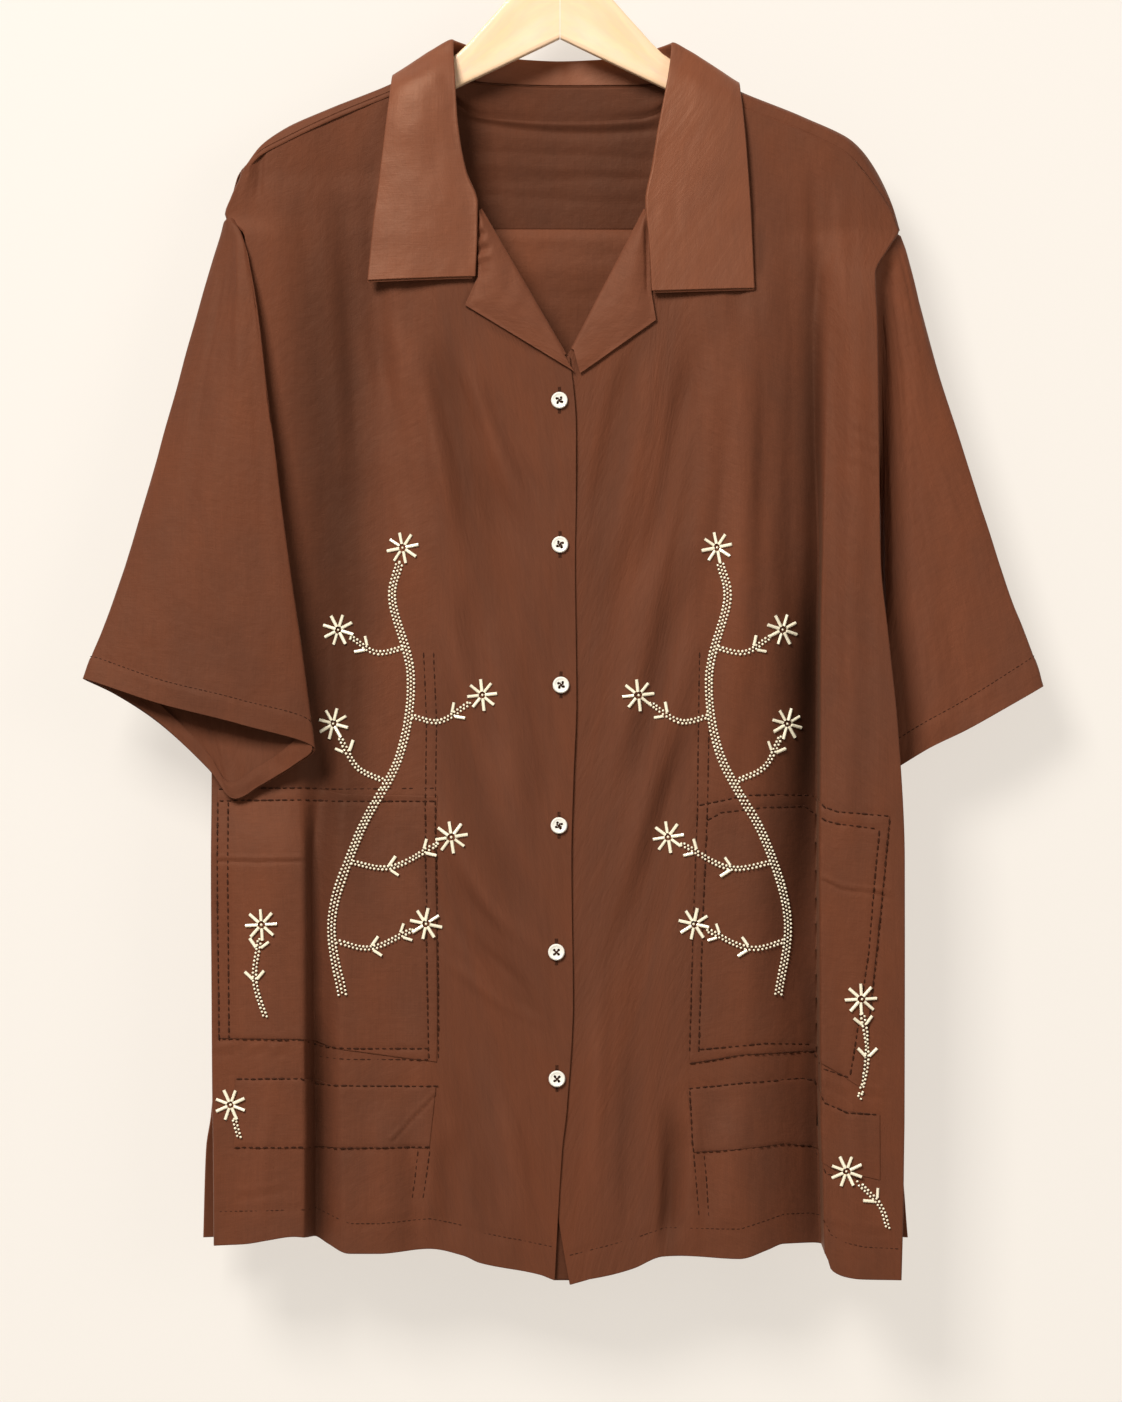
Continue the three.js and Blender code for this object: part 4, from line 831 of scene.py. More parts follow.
def backPiece():
    u = fineSteps([0, 0.08, 0.92, 1], [14, 92, 14])[None, :]
    v = fineSteps([0, 1], [150], 0.001)[:, None]
    topX = mix(backTop[0, 0], backTop[-1, 0], u)
    z = mix(linearAt(backTop[:, 0], backTop[:, 2], topX), backFoot, v)
    leftX, leftY, middleY, rightX, rightY = columnCurves(backSections)(z)
    x = mix(mix(leftX, rightX, u), topX, ease(1 - v * 18))
    side = np.minimum(u, 1 - u)
    flat = mix(np.where(u < 0.5, leftY, rightY), middleY, np.sqrt(ease(side / 0.16)))
    y = flat + ease(side / 0.12) * (foldRise(backFolds, x, z) + foldRise(backCreases, x, z))
    y = y + ease(side / 0.05) * (0.45 * softNoise(x / 28, z / 90, 31) + 0.15 * softNoise(x / 9, z / 30, 32))
    y = mix(y, linearAt(backTop[:, 0], backTop[:, 1], topX), ease(1 - v * 9))
    shelf = ease((-257.5 - z) / 2.5) * ease((z + 330) / 60) * ease(side / 0.2)
    y = y - 2.4 * shelf
    for middle, rise, slope in ((-272, 0.7, 0.10), (-286, -0.8, -0.06), (-303, 0.8, 0.05)):
        y = y + rise * np.exp(-((z - middle + slope * x) / 2.6) ** 2) * ease((70 - np.abs(x)) / 40)
    piece = sheetObject("backCloth", np.stack([x, y, z], axis=-1), clothWall, backCloth)
    declareCloth(piece, "back_panel")


yokeStations = np.array([
    [-223.4, -1.3, -217.4, -224.8, 0.9, -219.1, -234.3, 0.2, -254.9],
    [-219.4, -7.8, -214.2, -220.5, 0.2, -214.6, -228.9, 7, -256.4],
    [-210, -8.5, -204.6, -210, 0, -200.6, -217, 11, -256.6],
    [-192.5, -8.5, -195.1, -192.5, 0, -188, -196, 14, -256.6],
    [-161, -8.5, -180, -161, 0, -174, -161, 16, -256.6],
    [-121.1, -8.7, -163.6, -119, 0, -157.2, -121.1, 17, -256.6],
    [-98, -9, -154.2, -95.9, 0, -144.6, -95.9, 17.5, -256.6],
    [-88.6, -2.5, -138.6, -85.4, 8.4, -141.5, -81.9, 18, -256.6],
    [-84.6, 6.4, -139.8, -82.6, 10.4, -145.6, -78, 18, -256.6],
    [-77, 9.5, -148.8, -75.6, 13, -162.1, -73.5, 18, -256.6],
    [-56, 14.5, -154.4, -56, 16.5, -176.1, -54.6, 18, -256.6],
    [0, 18, -156.5, 0, 18.5, -179.6, 0, 19, -256.6],
    [57.4, 14.5, -156.5, 57.4, 16.5, -177.5, 56, 18, -256.6],
    [78.4, 9.5, -152.3, 77, 13, -165.6, 75.6, 18, -257.3],
    [85.4, 6.4, -141.8, 83.4, 10.4, -147.6, 81, 18, -257.3],
    [89.3, -2.5, -140.4, 86.1, 8.4, -143.4, 85.4, 18, -257.3],
    [99.4, -9, -163.6, 96.6, 0, -146.3, 98, 17.5, -257.3],
    [128.8, -8.7, -174.5, 124.6, 0, -161.4, 127.4, 17, -258],
    [169.4, -8.5, -189.9, 169.4, 0, -179.6, 168, 16, -259.4],
    [201.6, -8.5, -206.7, 205.1, 0, -197.1, 200.2, 14, -260.8],
    [212.4, -8.5, -218.2, 221.2, 0, -217, 215.6, 12, -262.2],
    [232.2, -8, -246.6, 232.6, 0, -241.2, 229.6, 8, -264.3],
    [236.8, -5, -258.5, 238.2, 0, -259.4, 235.5, 5, -265.7],
])


def yokePiece():
    last = len(yokeStations) - 1
    place = fineSteps([0, last], [220], 0.02)
    row = [monotoneAt(np.arange(last + 1), yokeStations[:, c], place)[None, :] for c in range(9)]
    v = fineSteps([0, 0.25, 0.5, 1], [16, 16, 34], 0.003)[:, None]

    def along(f, r, b, lead, near, far):
        stack = np.stack([f, mix(f, r, lead), r, mix(r, b, near), mix(r, b, far), b])
        stack = np.broadcast_to(stack, (6, v.shape[0], len(place)))
        return monotoneAt([0, 0.125, 0.25, 0.375, 0.5, 1], stack, v + 0 * row[0])

    x = along(row[0], row[3], row[6], 0.5, 0.1, 0.25)
    y = along(row[1], row[4], row[7], 0.2, 0.48, 0.7)
    z = along(row[2], row[5], row[8], 0.72, 0.045, 0.16)
    back = ease((v - 0.45) / 0.2) * ease((1 - v) / 0.1)
    y = y + back * (0.5 * softNoise(x / 30, z / 18, 41) + 0.2 * softNoise(x / 12, z / 8, 42))
    inNeck = ease((90 - np.abs(x)) / 40) * ease((v - 0.3) / 0.1)
    line = z + 188.5 + 0.05 * x - 0.0012 * x * x
    y = y + 1.5 * inNeck * np.exp(-(line / 3.6) ** 2) - 1.5 * inNeck * np.exp(-((line - 7.5) / 5.0) ** 2)
    wander = 0.05 * x + 1.5 * softNoise(x / 22, z / 40, 43)
    for middle, rise, half in ((-172, 0.5, 2.2), (-204, 0.5, 3.0), (-214, -0.4, 2.6), (-236, 0.45, 3.4)):
        y = y + rise * inNeck * np.exp(-((z - middle + wander) / half) ** 2)
    second = z + 222 - 0.03 * x
    y = y + 0.6 * inNeck * np.exp(-(second / 4) ** 2)
    points = np.stack([x, y, z], axis=-1)
    wide = ease((np.abs(points[:1, :, :1]) - 90) / 8)
    frontLap = [points[:1] + wide * np.array(step) + [0, 0, -0.05 * i] for i, step in (
        (3, (0, -1.1, -3.4)), (2, (0, -1.3, -3.0)), (1, (0, -1.25, -1.0)))]
    backLap = [points[-1:] + np.array(step) for step in ((0, 1.15, -0.8), (0, 1.25, -4.5), (0, 1.15, -6.5))]
    points = np.concatenate(frontLap + [points] + backLap)
    # painted shade on the yoke around the neck, where the collar shades its inside; it darkens both faces of
    # the wall
    neckShade = 0.27 * ease((120 - np.abs(points[..., 0])) / 70) * ease((points[..., 1] - 6) / 10)
    piece = sheetObject("yokeCloth", points, clothWall, brownCloth, paintedShade=neckShade)
    declareCloth(piece, "yoke")


backPiece()
yokePiece()
print("back and yoke made")

# sleeves
ringPlaces = [0, 0.05, 0.35, 0.7, 1]
# places down the sleeve from 0 to 1; heights and the turning's step inside in mm
cuffSet = {
    "stitchPlace": 0.925, "bandPlace": 0.927, "turnUpFoot": 0.9965,
    "bandRise": 0.35, "groove": 0.45, "inside": 1.9,
}
rightSleeveRings = np.array([
    [[-236.6, 0, -257.9], [-233.5, -7.7, -252.9], [-227, -11.4, -257.2], [-222.3, -13.2, -265.5],
     [-219.6, -13.6, -323.1],
     [-226.9, -12.9, -407.1], [-244.3, -1.2, -446.5], [-230.6, 9.5, -400.1], [-227.6, 10.2, -323.1],
     [-234.8, 6, -270.6]],
    [[-240.1, -2, -269.9], [-233.1, -10, -267.8], [-225.4, -15, -269.2], [-218.6, -17.6, -275.5],
     [-220.4, -17.6, -330.1],
     [-231, -17.6, -412.7], [-247.8, -5, -453.3], [-236.6, 7, -407.1], [-233.8, 7.5, -330.1],
     [-239.4, 4, -282.5]],
    [[-267.4, -7, -370], [-246.4, -22, -372.8], [-224, -29.5, -374.9], [-204.4, -31, -377.7],
     [-208.6, -24, -417.6],
     [-221.2, -20, -470.1], [-245.7, -16.5, -512.1], [-256.2, -8, -477.1], [-262.5, -3, -428.1],
     [-267.4, -2, -393.1]],
    [[-307.6, -15, -506.5], [-269.5, -32, -520.5], [-226.1, -38, -529.6], [-182, -37.5, -542.9],
     [-195.3, -28, -571.6],
     [-215.6, -21.5, -593.3], [-236.6, -19, -608.7], [-252, -16, -582.1], [-276.5, -12, -548.5],
     [-295.4, -10, -521.9]],
    [[-332.5, -22, -574.4], [-280, -34, -591.2], [-221.2, -40, -606.2], [-170.8, -38, -623],
     [-184.1, -32, -634.6],
     [-208.6, -26, -649.3], [-227.5, -23.5, -658.4], [-245.7, -20, -637.4], [-280.7, -16, -605.2],
     [-311.5, -17, -584.9]],
])
leftSleeveRings = np.array([
    [[239, 0, -263.6], [233.1, -8.2, -272], [223.3, -13, -283.9], [219.7, -17, -302.1],
     [220.6, -20.3, -351.1],
     [221.7, -21.3, -402], [218.4, -0.9, -446.6], [220.2, 10.6, -407.1], [225, 13.4, -337.1],
     [233.1, 9, -279.7]],
    [[241.5, 0, -271.3], [238, -6, -279.7], [230.6, -7, -292.3], [227.1, -7, -312.6], [226.1, -7, -358.1],
     [225, -6, -407.1], [222.6, 1, -450.5], [225.4, 8.5, -410.6], [229.6, 10.5, -344.1], [237.3, 7, -286.7]],
    [[268.8, 0, -370], [260.4, -7.5, -394.5], [248.5, -10, -417.6], [238, -10, -442.1], [228.2, -8, -468.7],
     [225.4, -3, -488.3], [224.7, 3, -498.1], [236.6, 9, -463.1], [248.5, 10, -421.1], [261.1, 7, -388.2]],
    [[307.3, 0, -491.1], [290.5, -8, -509.3], [269.5, -10, -526.8], [248.5, -10, -544.3], [230.3, -8, -557.6],
     [227.5, -2, -564.6], [227.5, 4, -566], [248.5, 9, -540.8], [269.5, 9.5, -524], [290.5, 7, -505.8]],
    [[338.8, 0, -579.6], [310.1, -7.5, -596.1], [284.9, -9.5, -610.1], [259, -9.5, -622.7],
     [235.9, -8, -636.7],
     [231.7, -2, -638.8], [231, 3, -638.8], [259, 9, -620.6], [284.9, 9.5, -607.3], [311.5, 7, -592.6]],
])


def loopPoints(ring, t):
    # closed centripetal curve through the ring, as in the solids
    count = len(ring)
    place = t * count
    i = np.floor(place).astype(int)
    w = (place - i)[:, None]
    p0, p1, p2, p3 = (ring[(i + k) % count] for k in (-1, 0, 1, 2))
    steps = ((p0, p1), (p1, p2), (p2, p3))
    d0, d1, d2 = (np.maximum(np.linalg.norm(b - a, axis=1) ** 0.5, 1e-4)[:, None] for a, b in steps)
    t1 = ((p1 - p0) / d0 - (p2 - p0) / (d0 + d1) + (p2 - p1) / d1) * d1
    t2 = ((p2 - p1) / d1 - (p3 - p1) / (d1 + d2) + (p3 - p2) / d2) * d1
    return p1 + t1 * w + (-3 * p1 + 3 * p2 - 2 * t1 - t2) * w ** 2 + (2 * p1 - 2 * p2 + t1 + t2) * w ** 3


def sleevePoints(rings, around, v, seed):
    loops = np.stack([loopPoints(ring, around) for ring in rings])
    v = np.asarray(v, float)[:, None]
    shape = (len(rings), len(v), len(around))
    places = v + 0 * around[None]
    curves = [monotoneAt(ringPlaces, np.broadcast_to(loops[:, None, :, a], shape), places) for a in range(3)]
    points = np.stack(curves, axis=-1)
    normal = gridNormals(points, ring=True)
    soft = 1.1 * softNoise(around[None] * 20, v * 4, seed)
    soft = soft + 0.3 * softNoise(around[None] * 60, v * 14, seed + 1)
    return points + normal * (soft * ease(v / 0.08) * ease((1 - v) / 0.05))[..., None]


def sleevePiece(name, rings, node, seed, shade):
    around = np.arange(150) / 150
    v = fineSteps([0, 0.1, 1], [14, 88], 0.001)
    points = sleevePoints(rings, around, v, seed)
    stitchGroove = np.exp(-((v - cuffSet["stitchPlace"]) / 0.004) ** 2)[:, None, None]
    normal = gridNormals(points, ring=True)
    centre = points.mean(axis=1, keepdims=True)
    outward = np.sign(((points - centre) * normal).sum(axis=2).mean())
    band = cuffSet["bandRise"] * ease((v - cuffSet["bandPlace"]) / 0.004)[:, None, None]
    points = points + normal * outward * (band - cuffSet["groove"] * stitchGroove)
    reach = points[0] - points[4]
    reach = reach / np.linalg.norm(reach, axis=1, keepdims=True)
    inward = normal[:1] * outward
    tuckedIn = [points[:1] + reach * far - inward * deep for far, deep in ((5.5, 2.4), (2.2, 1.8))]
    rows = np.concatenate(tuckedIn + [points])
    shades = np.full(rows.shape[:2], shade)
    sleeve = sheetObject(name, rows, clothWall, brownCloth, ring=True, paintedShade=shades)
    hemRows = fineSteps([cuffSet["stitchPlace"], cuffSet["turnUpFoot"]], [14], 0.0008)
    hemPoints = sleevePoints(rings, around, hemRows, seed)
    hemPoints = hemPoints - gridNormals(hemPoints, ring=True) * outward * cuffSet["inside"]
    hem = sheetObject(name + "TurnUp", hemPoints, clothWall, brownCloth, ring=True)
    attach(hem, "root")
    declareCloth(sleeve, node)
    return points, v, normal * outward


# painted shade on the right sleeve; the left sleeve's negative shade is painted light
rightSleeve = sleevePiece("sleeveRightCloth", rightSleeveRings, "sleeve_right", 51, 0.05)
leftSleeve = sleevePiece("sleeveLeftCloth", leftSleeveRings, "sleeve_left", 61, -0.2)
print("sleeves made")

# collar, stand and leaf in one piece
collarStations = np.array([
    [-59.8, -20.5, -293, -60.1, -23.5, -293.4, -134.4, -19.5, -295.8],
    [-58.8, -19.5, -263.6, -58.8, -23, -263.6, -132.3, -18.5, -274.1],
    [-58.6, -17, -241.9, -58.8, -22.4, -242.6, -129.8, -18.5, -249.6],
    [-67, -14, -218.1, -67.3, -21, -218.8, -126, -17.5, -221.6],
    [-76.4, -12.4, -188.7, -73, -20, -183.1, -122.5, -16.5, -193.6],
    [-84.8, -11.4, -163.5, -74.5, -16, -151.6, -119.6, -14.6, -171.2],
    [-88.6, -7.6, -147.5, -75.4, -9.5, -136.6, -118.2, -10.8, -158.6],
    [-89.6, -2.6, -136.9, -75.6, -3, -126, -116.9, -0.5, -150.8],
    [-82.6, 7.2, -137.6, -67.9, 9, -127.8, -112, 20, -166],
    [-74.8, 10.6, -146.2, -52.5, 16, -132.7, -91, 24.5, -193.6],
    [-56, 16.8, -153.3, -24.5, 21, -137.6, -56, 26, -209.7],
    [0, 20.5, -155.4, 0, 24, -138.3, 0, 27, -214.6],
    [57.4, 16.8, -155.4, 26.6, 21, -137.6, 57.4, 26, -211.1],
    [76.2, 10.6, -149.8, 56, 16, -134.1, 94.5, 24.5, -195.7],
    [83.4, 7.2, -139.4, 71.4, 9, -129.9, 120.4, 20, -171.6],
    [90.4, -2.6, -138.7, 79.1, -3, -128.1, 125.3, -0.5, -156],
    [88.4, -7.6, -152, 78.4, -9.5, -138.6, 126.6, -10.8, -166],
    [83.4, -11.4, -170.5, 76.6, -16, -152.3, 128, -14.8, -178.1],
    [72.6, -12.4, -193.6, 70, -20, -188.7, 129.9, -17.3, -198.1],
    [65, -14, -218.1, 65.7, -21, -216.7, 131.9, -18.6, -225.1],
    [60.8, -17, -243.3, 61.2, -23, -241.2, 133.7, -18.5, -253.1],
    [63.7, -20.5, -270.6, 63.3, -24.5, -270.6, 134.8, -20, -277.6],
    [65.1, -22, -303.5, 65.1, -25.5, -303.5, 135.8, -21.5, -301.4],
])


def bezier(points, t):
    a, b, c, d = (p[:, None, :] for p in points)
    t = t[None, :, None]
    return a * (1 - t) ** 3 + 3 * b * t * (1 - t) ** 2 + 3 * c * t * t * (1 - t) + d * t ** 3


def collarPiece():
    last = len(collarStations) - 1
    place = fineSteps([0, last], [210], 0.02)
    row = np.stack([monotoneAt(np.arange(last + 1), collarStations[:, c], place) for c in range(9)], axis=-1)
    seam, fold, outer = row[:, :3], row[:, 3:6], row[:, 6:]
    out = (outer - fold) * np.array([1, 1, 0])
    out = out / np.linalg.norm(out, axis=1, keepdims=True)
    reach = np.minimum(2.6, np.linalg.norm(seam - fold, axis=1) * 0.3)[:, None]
    standBend = fold - out * reach
    leafBend = fold + out * 5
    leafRise = mix(outer, fold, 0.45)
    leafRise[:, 1] += np.sign(outer[:, 1]) * 2.5
    onFrontLeaf = ease((-outer[:, 1] - 8) / 6)
    leafRise[:, 1] -= onFrontLeaf * np.where(outer[:, 0] < 0, 5.5, 1.0)
    stand = bezier((seam, mix(seam, standBend, 0.5), standBend, fold), fineSteps([0, 1], [10], 0.02)[:-1])
    leafSteps = np.concatenate([[0, 0.01, 0.03, 0.06], np.linspace(0.1, 0.99, 30), [1]])
    leaf = bezier((fold, leafBend, leafRise, outer), leafSteps)
    points = np.concatenate([stand, leaf], axis=1)
    x, z = points[..., 0], points[..., 2]
    wave = 0.5 * softNoise(x / 22, z / 30, 71) + 0.22 * softNoise(x / 8, z / 12, 72)
    quiet = np.concatenate([np.zeros(stand.shape[1]), ease(np.linspace(0, 1, leaf.shape[1]) / 0.2)])[None, :]
    points = points + gridNormals(points) * (wave * quiet)[..., None]
    leafRows = points[:, stand.shape[1]:]
    for side, rows in (("Right", leafRows[:12]), ("Left", leafRows[::-1][:12])):
        drop = np.linspace(1, 0, len(rows))[:, None, None]
        ply = rows[:, 3:] + np.array([0, 1.5, 0]) + drop * np.array([0, 0.1, -1.5])
        under = sheetObject("collarPly" + side, ply, clothWall, collarCloth)
        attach(under, "root")
    piece = sheetObject("collarCloth", points, collarWall, collarCloth)
    declareCloth(piece, "collar")


collarPiece()

# revers, rolled back from the roll line
reversSet = {
    "reversRightCloth": {
        "front": frontRight, "node": "revers_right", "base": "frontRightCloth",
        "roll": [[-56.4, -246.5], [2.8, -348.6]],
        "outer": [[-57.6, -248], [-57.2, -293.1], [-66.5, -313.3], [9.8, -359.5]],
        "places": [0, 0.36, 0.5, 1], "gather": 1.3, "seam": [[(-58.2, -249), (-58.6, -292)]],
    },
    "reversLeftCloth": {
        "front": frontLeft, "node": "revers_left", "base": "frontLeftCloth",
        "roll": [[60.4, -246.5], [9.5, -344.5]],
        "outer": [[61.2, -248], [64, -304.9], [67.2, -323.8], [14, -361]],
        "places": [0, 0.46, 0.6, 1], "gather": 0.0, "seam": [[(59.4, -252), (60.4, -303)]],
    },
}
for name, shape in reversSet.items():
    front = shape["front"]
    s = fineSteps([0, shape["places"][2], 1], [36, 44], 0.004)[:, None]
    t = np.concatenate([[0.003], np.linspace(0.02, 0.985, 34), [1]])[None, :]
    roll, outer = np.array(shape["roll"]), np.array(shape["outer"])
    rollX, rollZ = mix(roll[0, 0], roll[1, 0], s), mix(roll[0, 1], roll[1, 1], s)
    x = mix(rollX, linearAt(shape["places"], outer[:, 0], s), t)
    z = mix(rollZ, linearAt(shape["places"], outer[:, 1], s), t)
    y = front.pointAt(front.uAt(x, z), z)[..., 1]
    swell = np.sin(np.pi * np.minimum(1, t * 1.1)) * np.sin(np.pi * np.minimum(0.95, s + 0.15))
    gather = ease((s - 0.04) / 0.08) * ease((0.34 - s) / 0.1) * ease((t - 0.25) / 0.4)
    ripple = shape["gather"] * gather * np.sin((s * 108 + 3.5 * t) / 1.55)
    groove = 0.7 * np.exp(-(lineDistance(shape["seam"], x, z) / 1.1) ** 2)
    y = y - 2.7 - 2.8 * swell - ripple + groove - 0.3 * softNoise(x / 9, z / 9, 81)
    flat = np.stack([x, y, z], axis=-1)
    angle = np.linspace(0, 0.85 * np.pi, 8)[None, :]
    across = np.array([roll[1, 1] - roll[0, 1], 0, roll[0, 0] - roll[1, 0]])
    across = across / np.linalg.norm(across) * -np.sign(roll[1, 0] - roll[0, 0])
    edgeY = front.pointAt(front.uAt(rollX, rollZ), rollZ)[..., 1]
    curlRadius = 0.95
    curl = np.stack([rollX + 0 * angle, edgeY - curlRadius * (1 - np.cos(angle)), rollZ + 0 * angle], axis=-1)
    curl = curl + across * (0.75 + curlRadius * np.sin(angle))[..., None]
    points = np.concatenate([curl, flat], axis=1)
    piece = sheetObject(name, points, clothWall, reversCloth)
    declareCloth(piece, shape["node"])
print("collar and revers made")

# running stitches, beads: small pieces set along paths by Geometry Nodes

def placerTree(name, kind, material):
    # instances on the points of a path mesh that holds along and facing vectors
    tree = bpy.data.node_groups.new(name, "GeometryNodeTree")
    face = tree.interface
    face.new_socket("Geometry", in_out="INPUT", socket_type="NodeSocketGeometry")
    for label in ("Half Width", "Half Height", "Half Length"):
        face.new_socket(label, in_out="INPUT", socket_type="NodeSocketFloat")
    face.new_socket("Unevenness", in_out="INPUT", socket_type="NodeSocketFloat")
    face.new_socket("Geometry", in_out="OUTPUT", socket_type="NodeSocketGeometry")
    nodes = tree.nodes
    start, end = nodes.new("NodeGroupInput"), nodes.new("NodeGroupOutput")
    if kind == "bugle":
        shape = nodes.new("GeometryNodeMeshCylinder")
        shape.inputs["Vertices"].default_value = 8
        shape.inputs["Depth"].default_value = 2
    else:
        shape = nodes.new("GeometryNodeMeshUVSphere")
        shape.inputs["Segments"].default_value = 6 if kind == "stitch" else 8
        shape.inputs["Rings"].default_value = 4 if kind == "stitch" else 5
    shape.inputs["Radius"].default_value = 1
    along = nodes.new("GeometryNodeInputNamedAttribute")
    along.data_type = "FLOAT_VECTOR"
    along.inputs["Name"].default_value = "along"
    facing = nodes.new("GeometryNodeInputNamedAttribute")
    facing.data_type = "FLOAT_VECTOR"
    facing.inputs["Name"].default_value = "facing"
    first = nodes.new("FunctionNodeAlignRotationToVector")
    first.axis = "Z"
    second = nodes.new("FunctionNodeAlignRotationToVector")
    second.axis = "Y"
    second.pivot_axis = "Z"
    size = nodes.new("ShaderNodeCombineXYZ")
    uneven = nodes.new("FunctionNodeRandomValue")
    uneven.data_type = "FLOAT"
    uneven.inputs["Seed"].default_value = 7
    low = nodes.new("ShaderNodeMath")
    low.operation = "SUBTRACT"
    low.inputs[0].default_value = 1
    high = nodes.new("ShaderNodeMath")
    high.operation = "ADD"
    high.inputs[0].default_value = 1
    scaled = nodes.new("ShaderNodeVectorMath")
    scaled.operation = "SCALE"
    place = nodes.new("GeometryNodeInstanceOnPoints")
    smooth = nodes.new("GeometryNodeSetShadeSmooth")
    smooth.inputs["Shade Smooth"].default_value = kind != "bugle"
    real = nodes.new("GeometryNodeRealizeInstances")
    paint = nodes.new("GeometryNodeSetMaterial")
    paint.inputs["Material"].default_value = material
    link(tree, start.outputs["Half Width"], size.inputs["X"])
    link(tree, start.outputs["Half Height"], size.inputs["Y"])
    link(tree, start.outputs["Half Length"], size.inputs["Z"])
    link(tree, start.outputs["Unevenness"], low.inputs[1])
    link(tree, start.outputs["Unevenness"], high.inputs[1])
    link(tree, low.outputs[0], uneven.inputs[2])
    link(tree, high.outputs[0], uneven.inputs[3])
    link(tree, size.outputs["Vector"], scaled.inputs["Vector"])
    link(tree, uneven.outputs[1], scaled.inputs["Scale"])
    link(tree, along.outputs["Attribute"], first.inputs["Vector"])
    link(tree, first.outputs["Rotation"], second.inputs["Rotation"])
    link(tree, facing.outputs["Attribute"], second.inputs["Vector"])
    link(tree, start.outputs["Geometry"], place.inputs["Points"])
    link(tree, shape.outputs["Mesh"], place.inputs["Instance"])
    link(tree, second.outputs["Rotation"], place.inputs["Rotation"])
    link(tree, scaled.outputs["Vector"], place.inputs["Scale"])
    link(tree, place.outputs["Instances"], real.inputs["Geometry"])
    link(tree, real.outputs["Geometry"], smooth.inputs["Geometry"])
    link(tree, smooth.outputs["Geometry"], paint.inputs["Geometry"])
    link(tree, paint.outputs["Geometry"], end.inputs["Geometry"])
    return tree


def placedPieces(name, tree, points, along, facing, sizes, material):
    # a point mesh goes through the tree and comes back as one plain mesh
    mesh = bpy.data.meshes.new(name + "Points")
    mesh.vertices.add(len(points))
    mesh.vertices.foreach_set("co", (np.asarray(points) * mm).reshape(-1))
    for label, values in (("along", along), ("facing", facing)):
        attribute = mesh.attributes.new(label, "FLOAT_VECTOR", "POINT")
        attribute.data.foreach_set("vector", np.asarray(values, float).reshape(-1))
    carrier = bpy.data.objects.new(name + "Points", mesh)
    scene.collection.objects.link(carrier)
    modifier = carrier.modifiers.new("place", "NODES")
    modifier.node_group = tree
    for item in tree.interface.items_tree:
        if item.item_type == "SOCKET" and item.in_out == "INPUT" and item.name in sizes:
            modifier[item.identifier] = sizes[item.name]
    bpy.context.view_layer.update()
    ready = carrier.evaluated_get(bpy.context.evaluated_depsgraph_get())
    made = bpy.data.meshes.new_from_object(ready)
    carrier.modifiers.remove(modifier)
    bpy.data.objects.remove(carrier)
    made.name = name
    piece = bpy.data.objects.new(name, made)
    scene.collection.objects.link(piece)
    if not made.materials:
        made.materials.append(material)
    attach(piece, "root")
    print(name, len(points), "pieces", len(made.polygons), "faces")
    return piece


def alongLine(line, spacing, start=0.0):
    # even places along a polyline: position and direction in the picture plane
    line = np.asarray(line, float)
    lengths = np.linalg.norm(np.diff(line, axis=0), axis=1)
    total = np.concatenate([[0], np.cumsum(lengths)])
    places = np.arange(start + spacing / 2, total[-1], spacing)
    x = np.interp(places, total, line[:, 0])
    z = np.interp(places, total, line[:, 1])
    i = np.clip(np.searchsorted(total, places) - 1, 0, len(lengths) - 1)
    return x, z, np.diff(line, axis=0)[i] / lengths[i][:, None]


def onFront(front, x, z, direction, lift):
    # carries picture-plane places and directions onto a front's surface
    u = front.uAt(x, z)
    normal = front.normalAt(u, z)
    base = front.pointAt(u, z)
    nextX, nextZ = x + direction[:, 0] * 0.8, z + direction[:, 1] * 0.8
    ahead = front.pointAt(front.uAt(nextX, nextZ), nextZ)
    along = ahead - base
    along = along / np.maximum(np.linalg.norm(along, axis=1, keepdims=True), 1e-6)
    return base + normal * lift[:, None], along, normal


def insidePatch(front, x, z):
    # how high the surface stands over the front where a patch lies on it
    lift = np.zeros(x.shape)
    for patch in patchSet.values():
        if patch["front"] is not front:
            continue
        topU, topZ = front.edgeTable(patch["top"])
        bottomU, bottomZ = front.edgeTable(patch["bottom"])
        u = front.uAt(x, z)
        low, high = linearAt(bottomU, bottomZ, u), linearAt(topU, topZ, u)
        place = np.clip((high - z) / (high - low), 0, 1)
        within = (z < high + 0.6) & (z > low - 0.6)
        within &= u > mix(topU[0], bottomU[0], place) - 0.003
        within &= u < mix(topU[-1], bottomU[-1], place) + 0.003
        lift = np.where(within, patchLayer + 0.25, lift)
    return lift


stitchTree = placerTree("runningStitch", "stitch", threadStuff)
stitchLift = 0.1
stitchSet = {
    "pocket": {
        "spacing": 4.9, "Unevenness": 0.24,
        "Half Width": 0.00055, "Half Height": 0.00034, "Half Length": 0.00195,
    },
    "hem": {
        "spacing": 3.6, "Unevenness": 0.18,
        "Half Width": 0.00038, "Half Height": 0.00022, "Half Length": 0.0013,
    },
}
for name, front, lines, kind in (
    ("pocketStitchesRight", frontRight, rightStitches, "pocket"),
    ("pocketStitchesLeft", frontLeft, leftStitches, "pocket"),
    ("hemStitchesRight", frontRight, rightHemStitch, "hem"),
    ("hemStitchesLeft", frontLeft, leftHemStitch, "hem"),
):
    settings = stitchSet[kind]
    placed = []
    for line in lines:
        x, z, direction = alongLine(line, settings["spacing"])
        lift = insidePatch(front, x, z) + clothWall / 2 + stitchLift
        placed.append(onFront(front, x, z, direction, lift))
    points, along, facing = (np.concatenate(part) for part in zip(*placed))
    placedPieces(name, stitchTree, points, along, facing, settings, threadStuff)
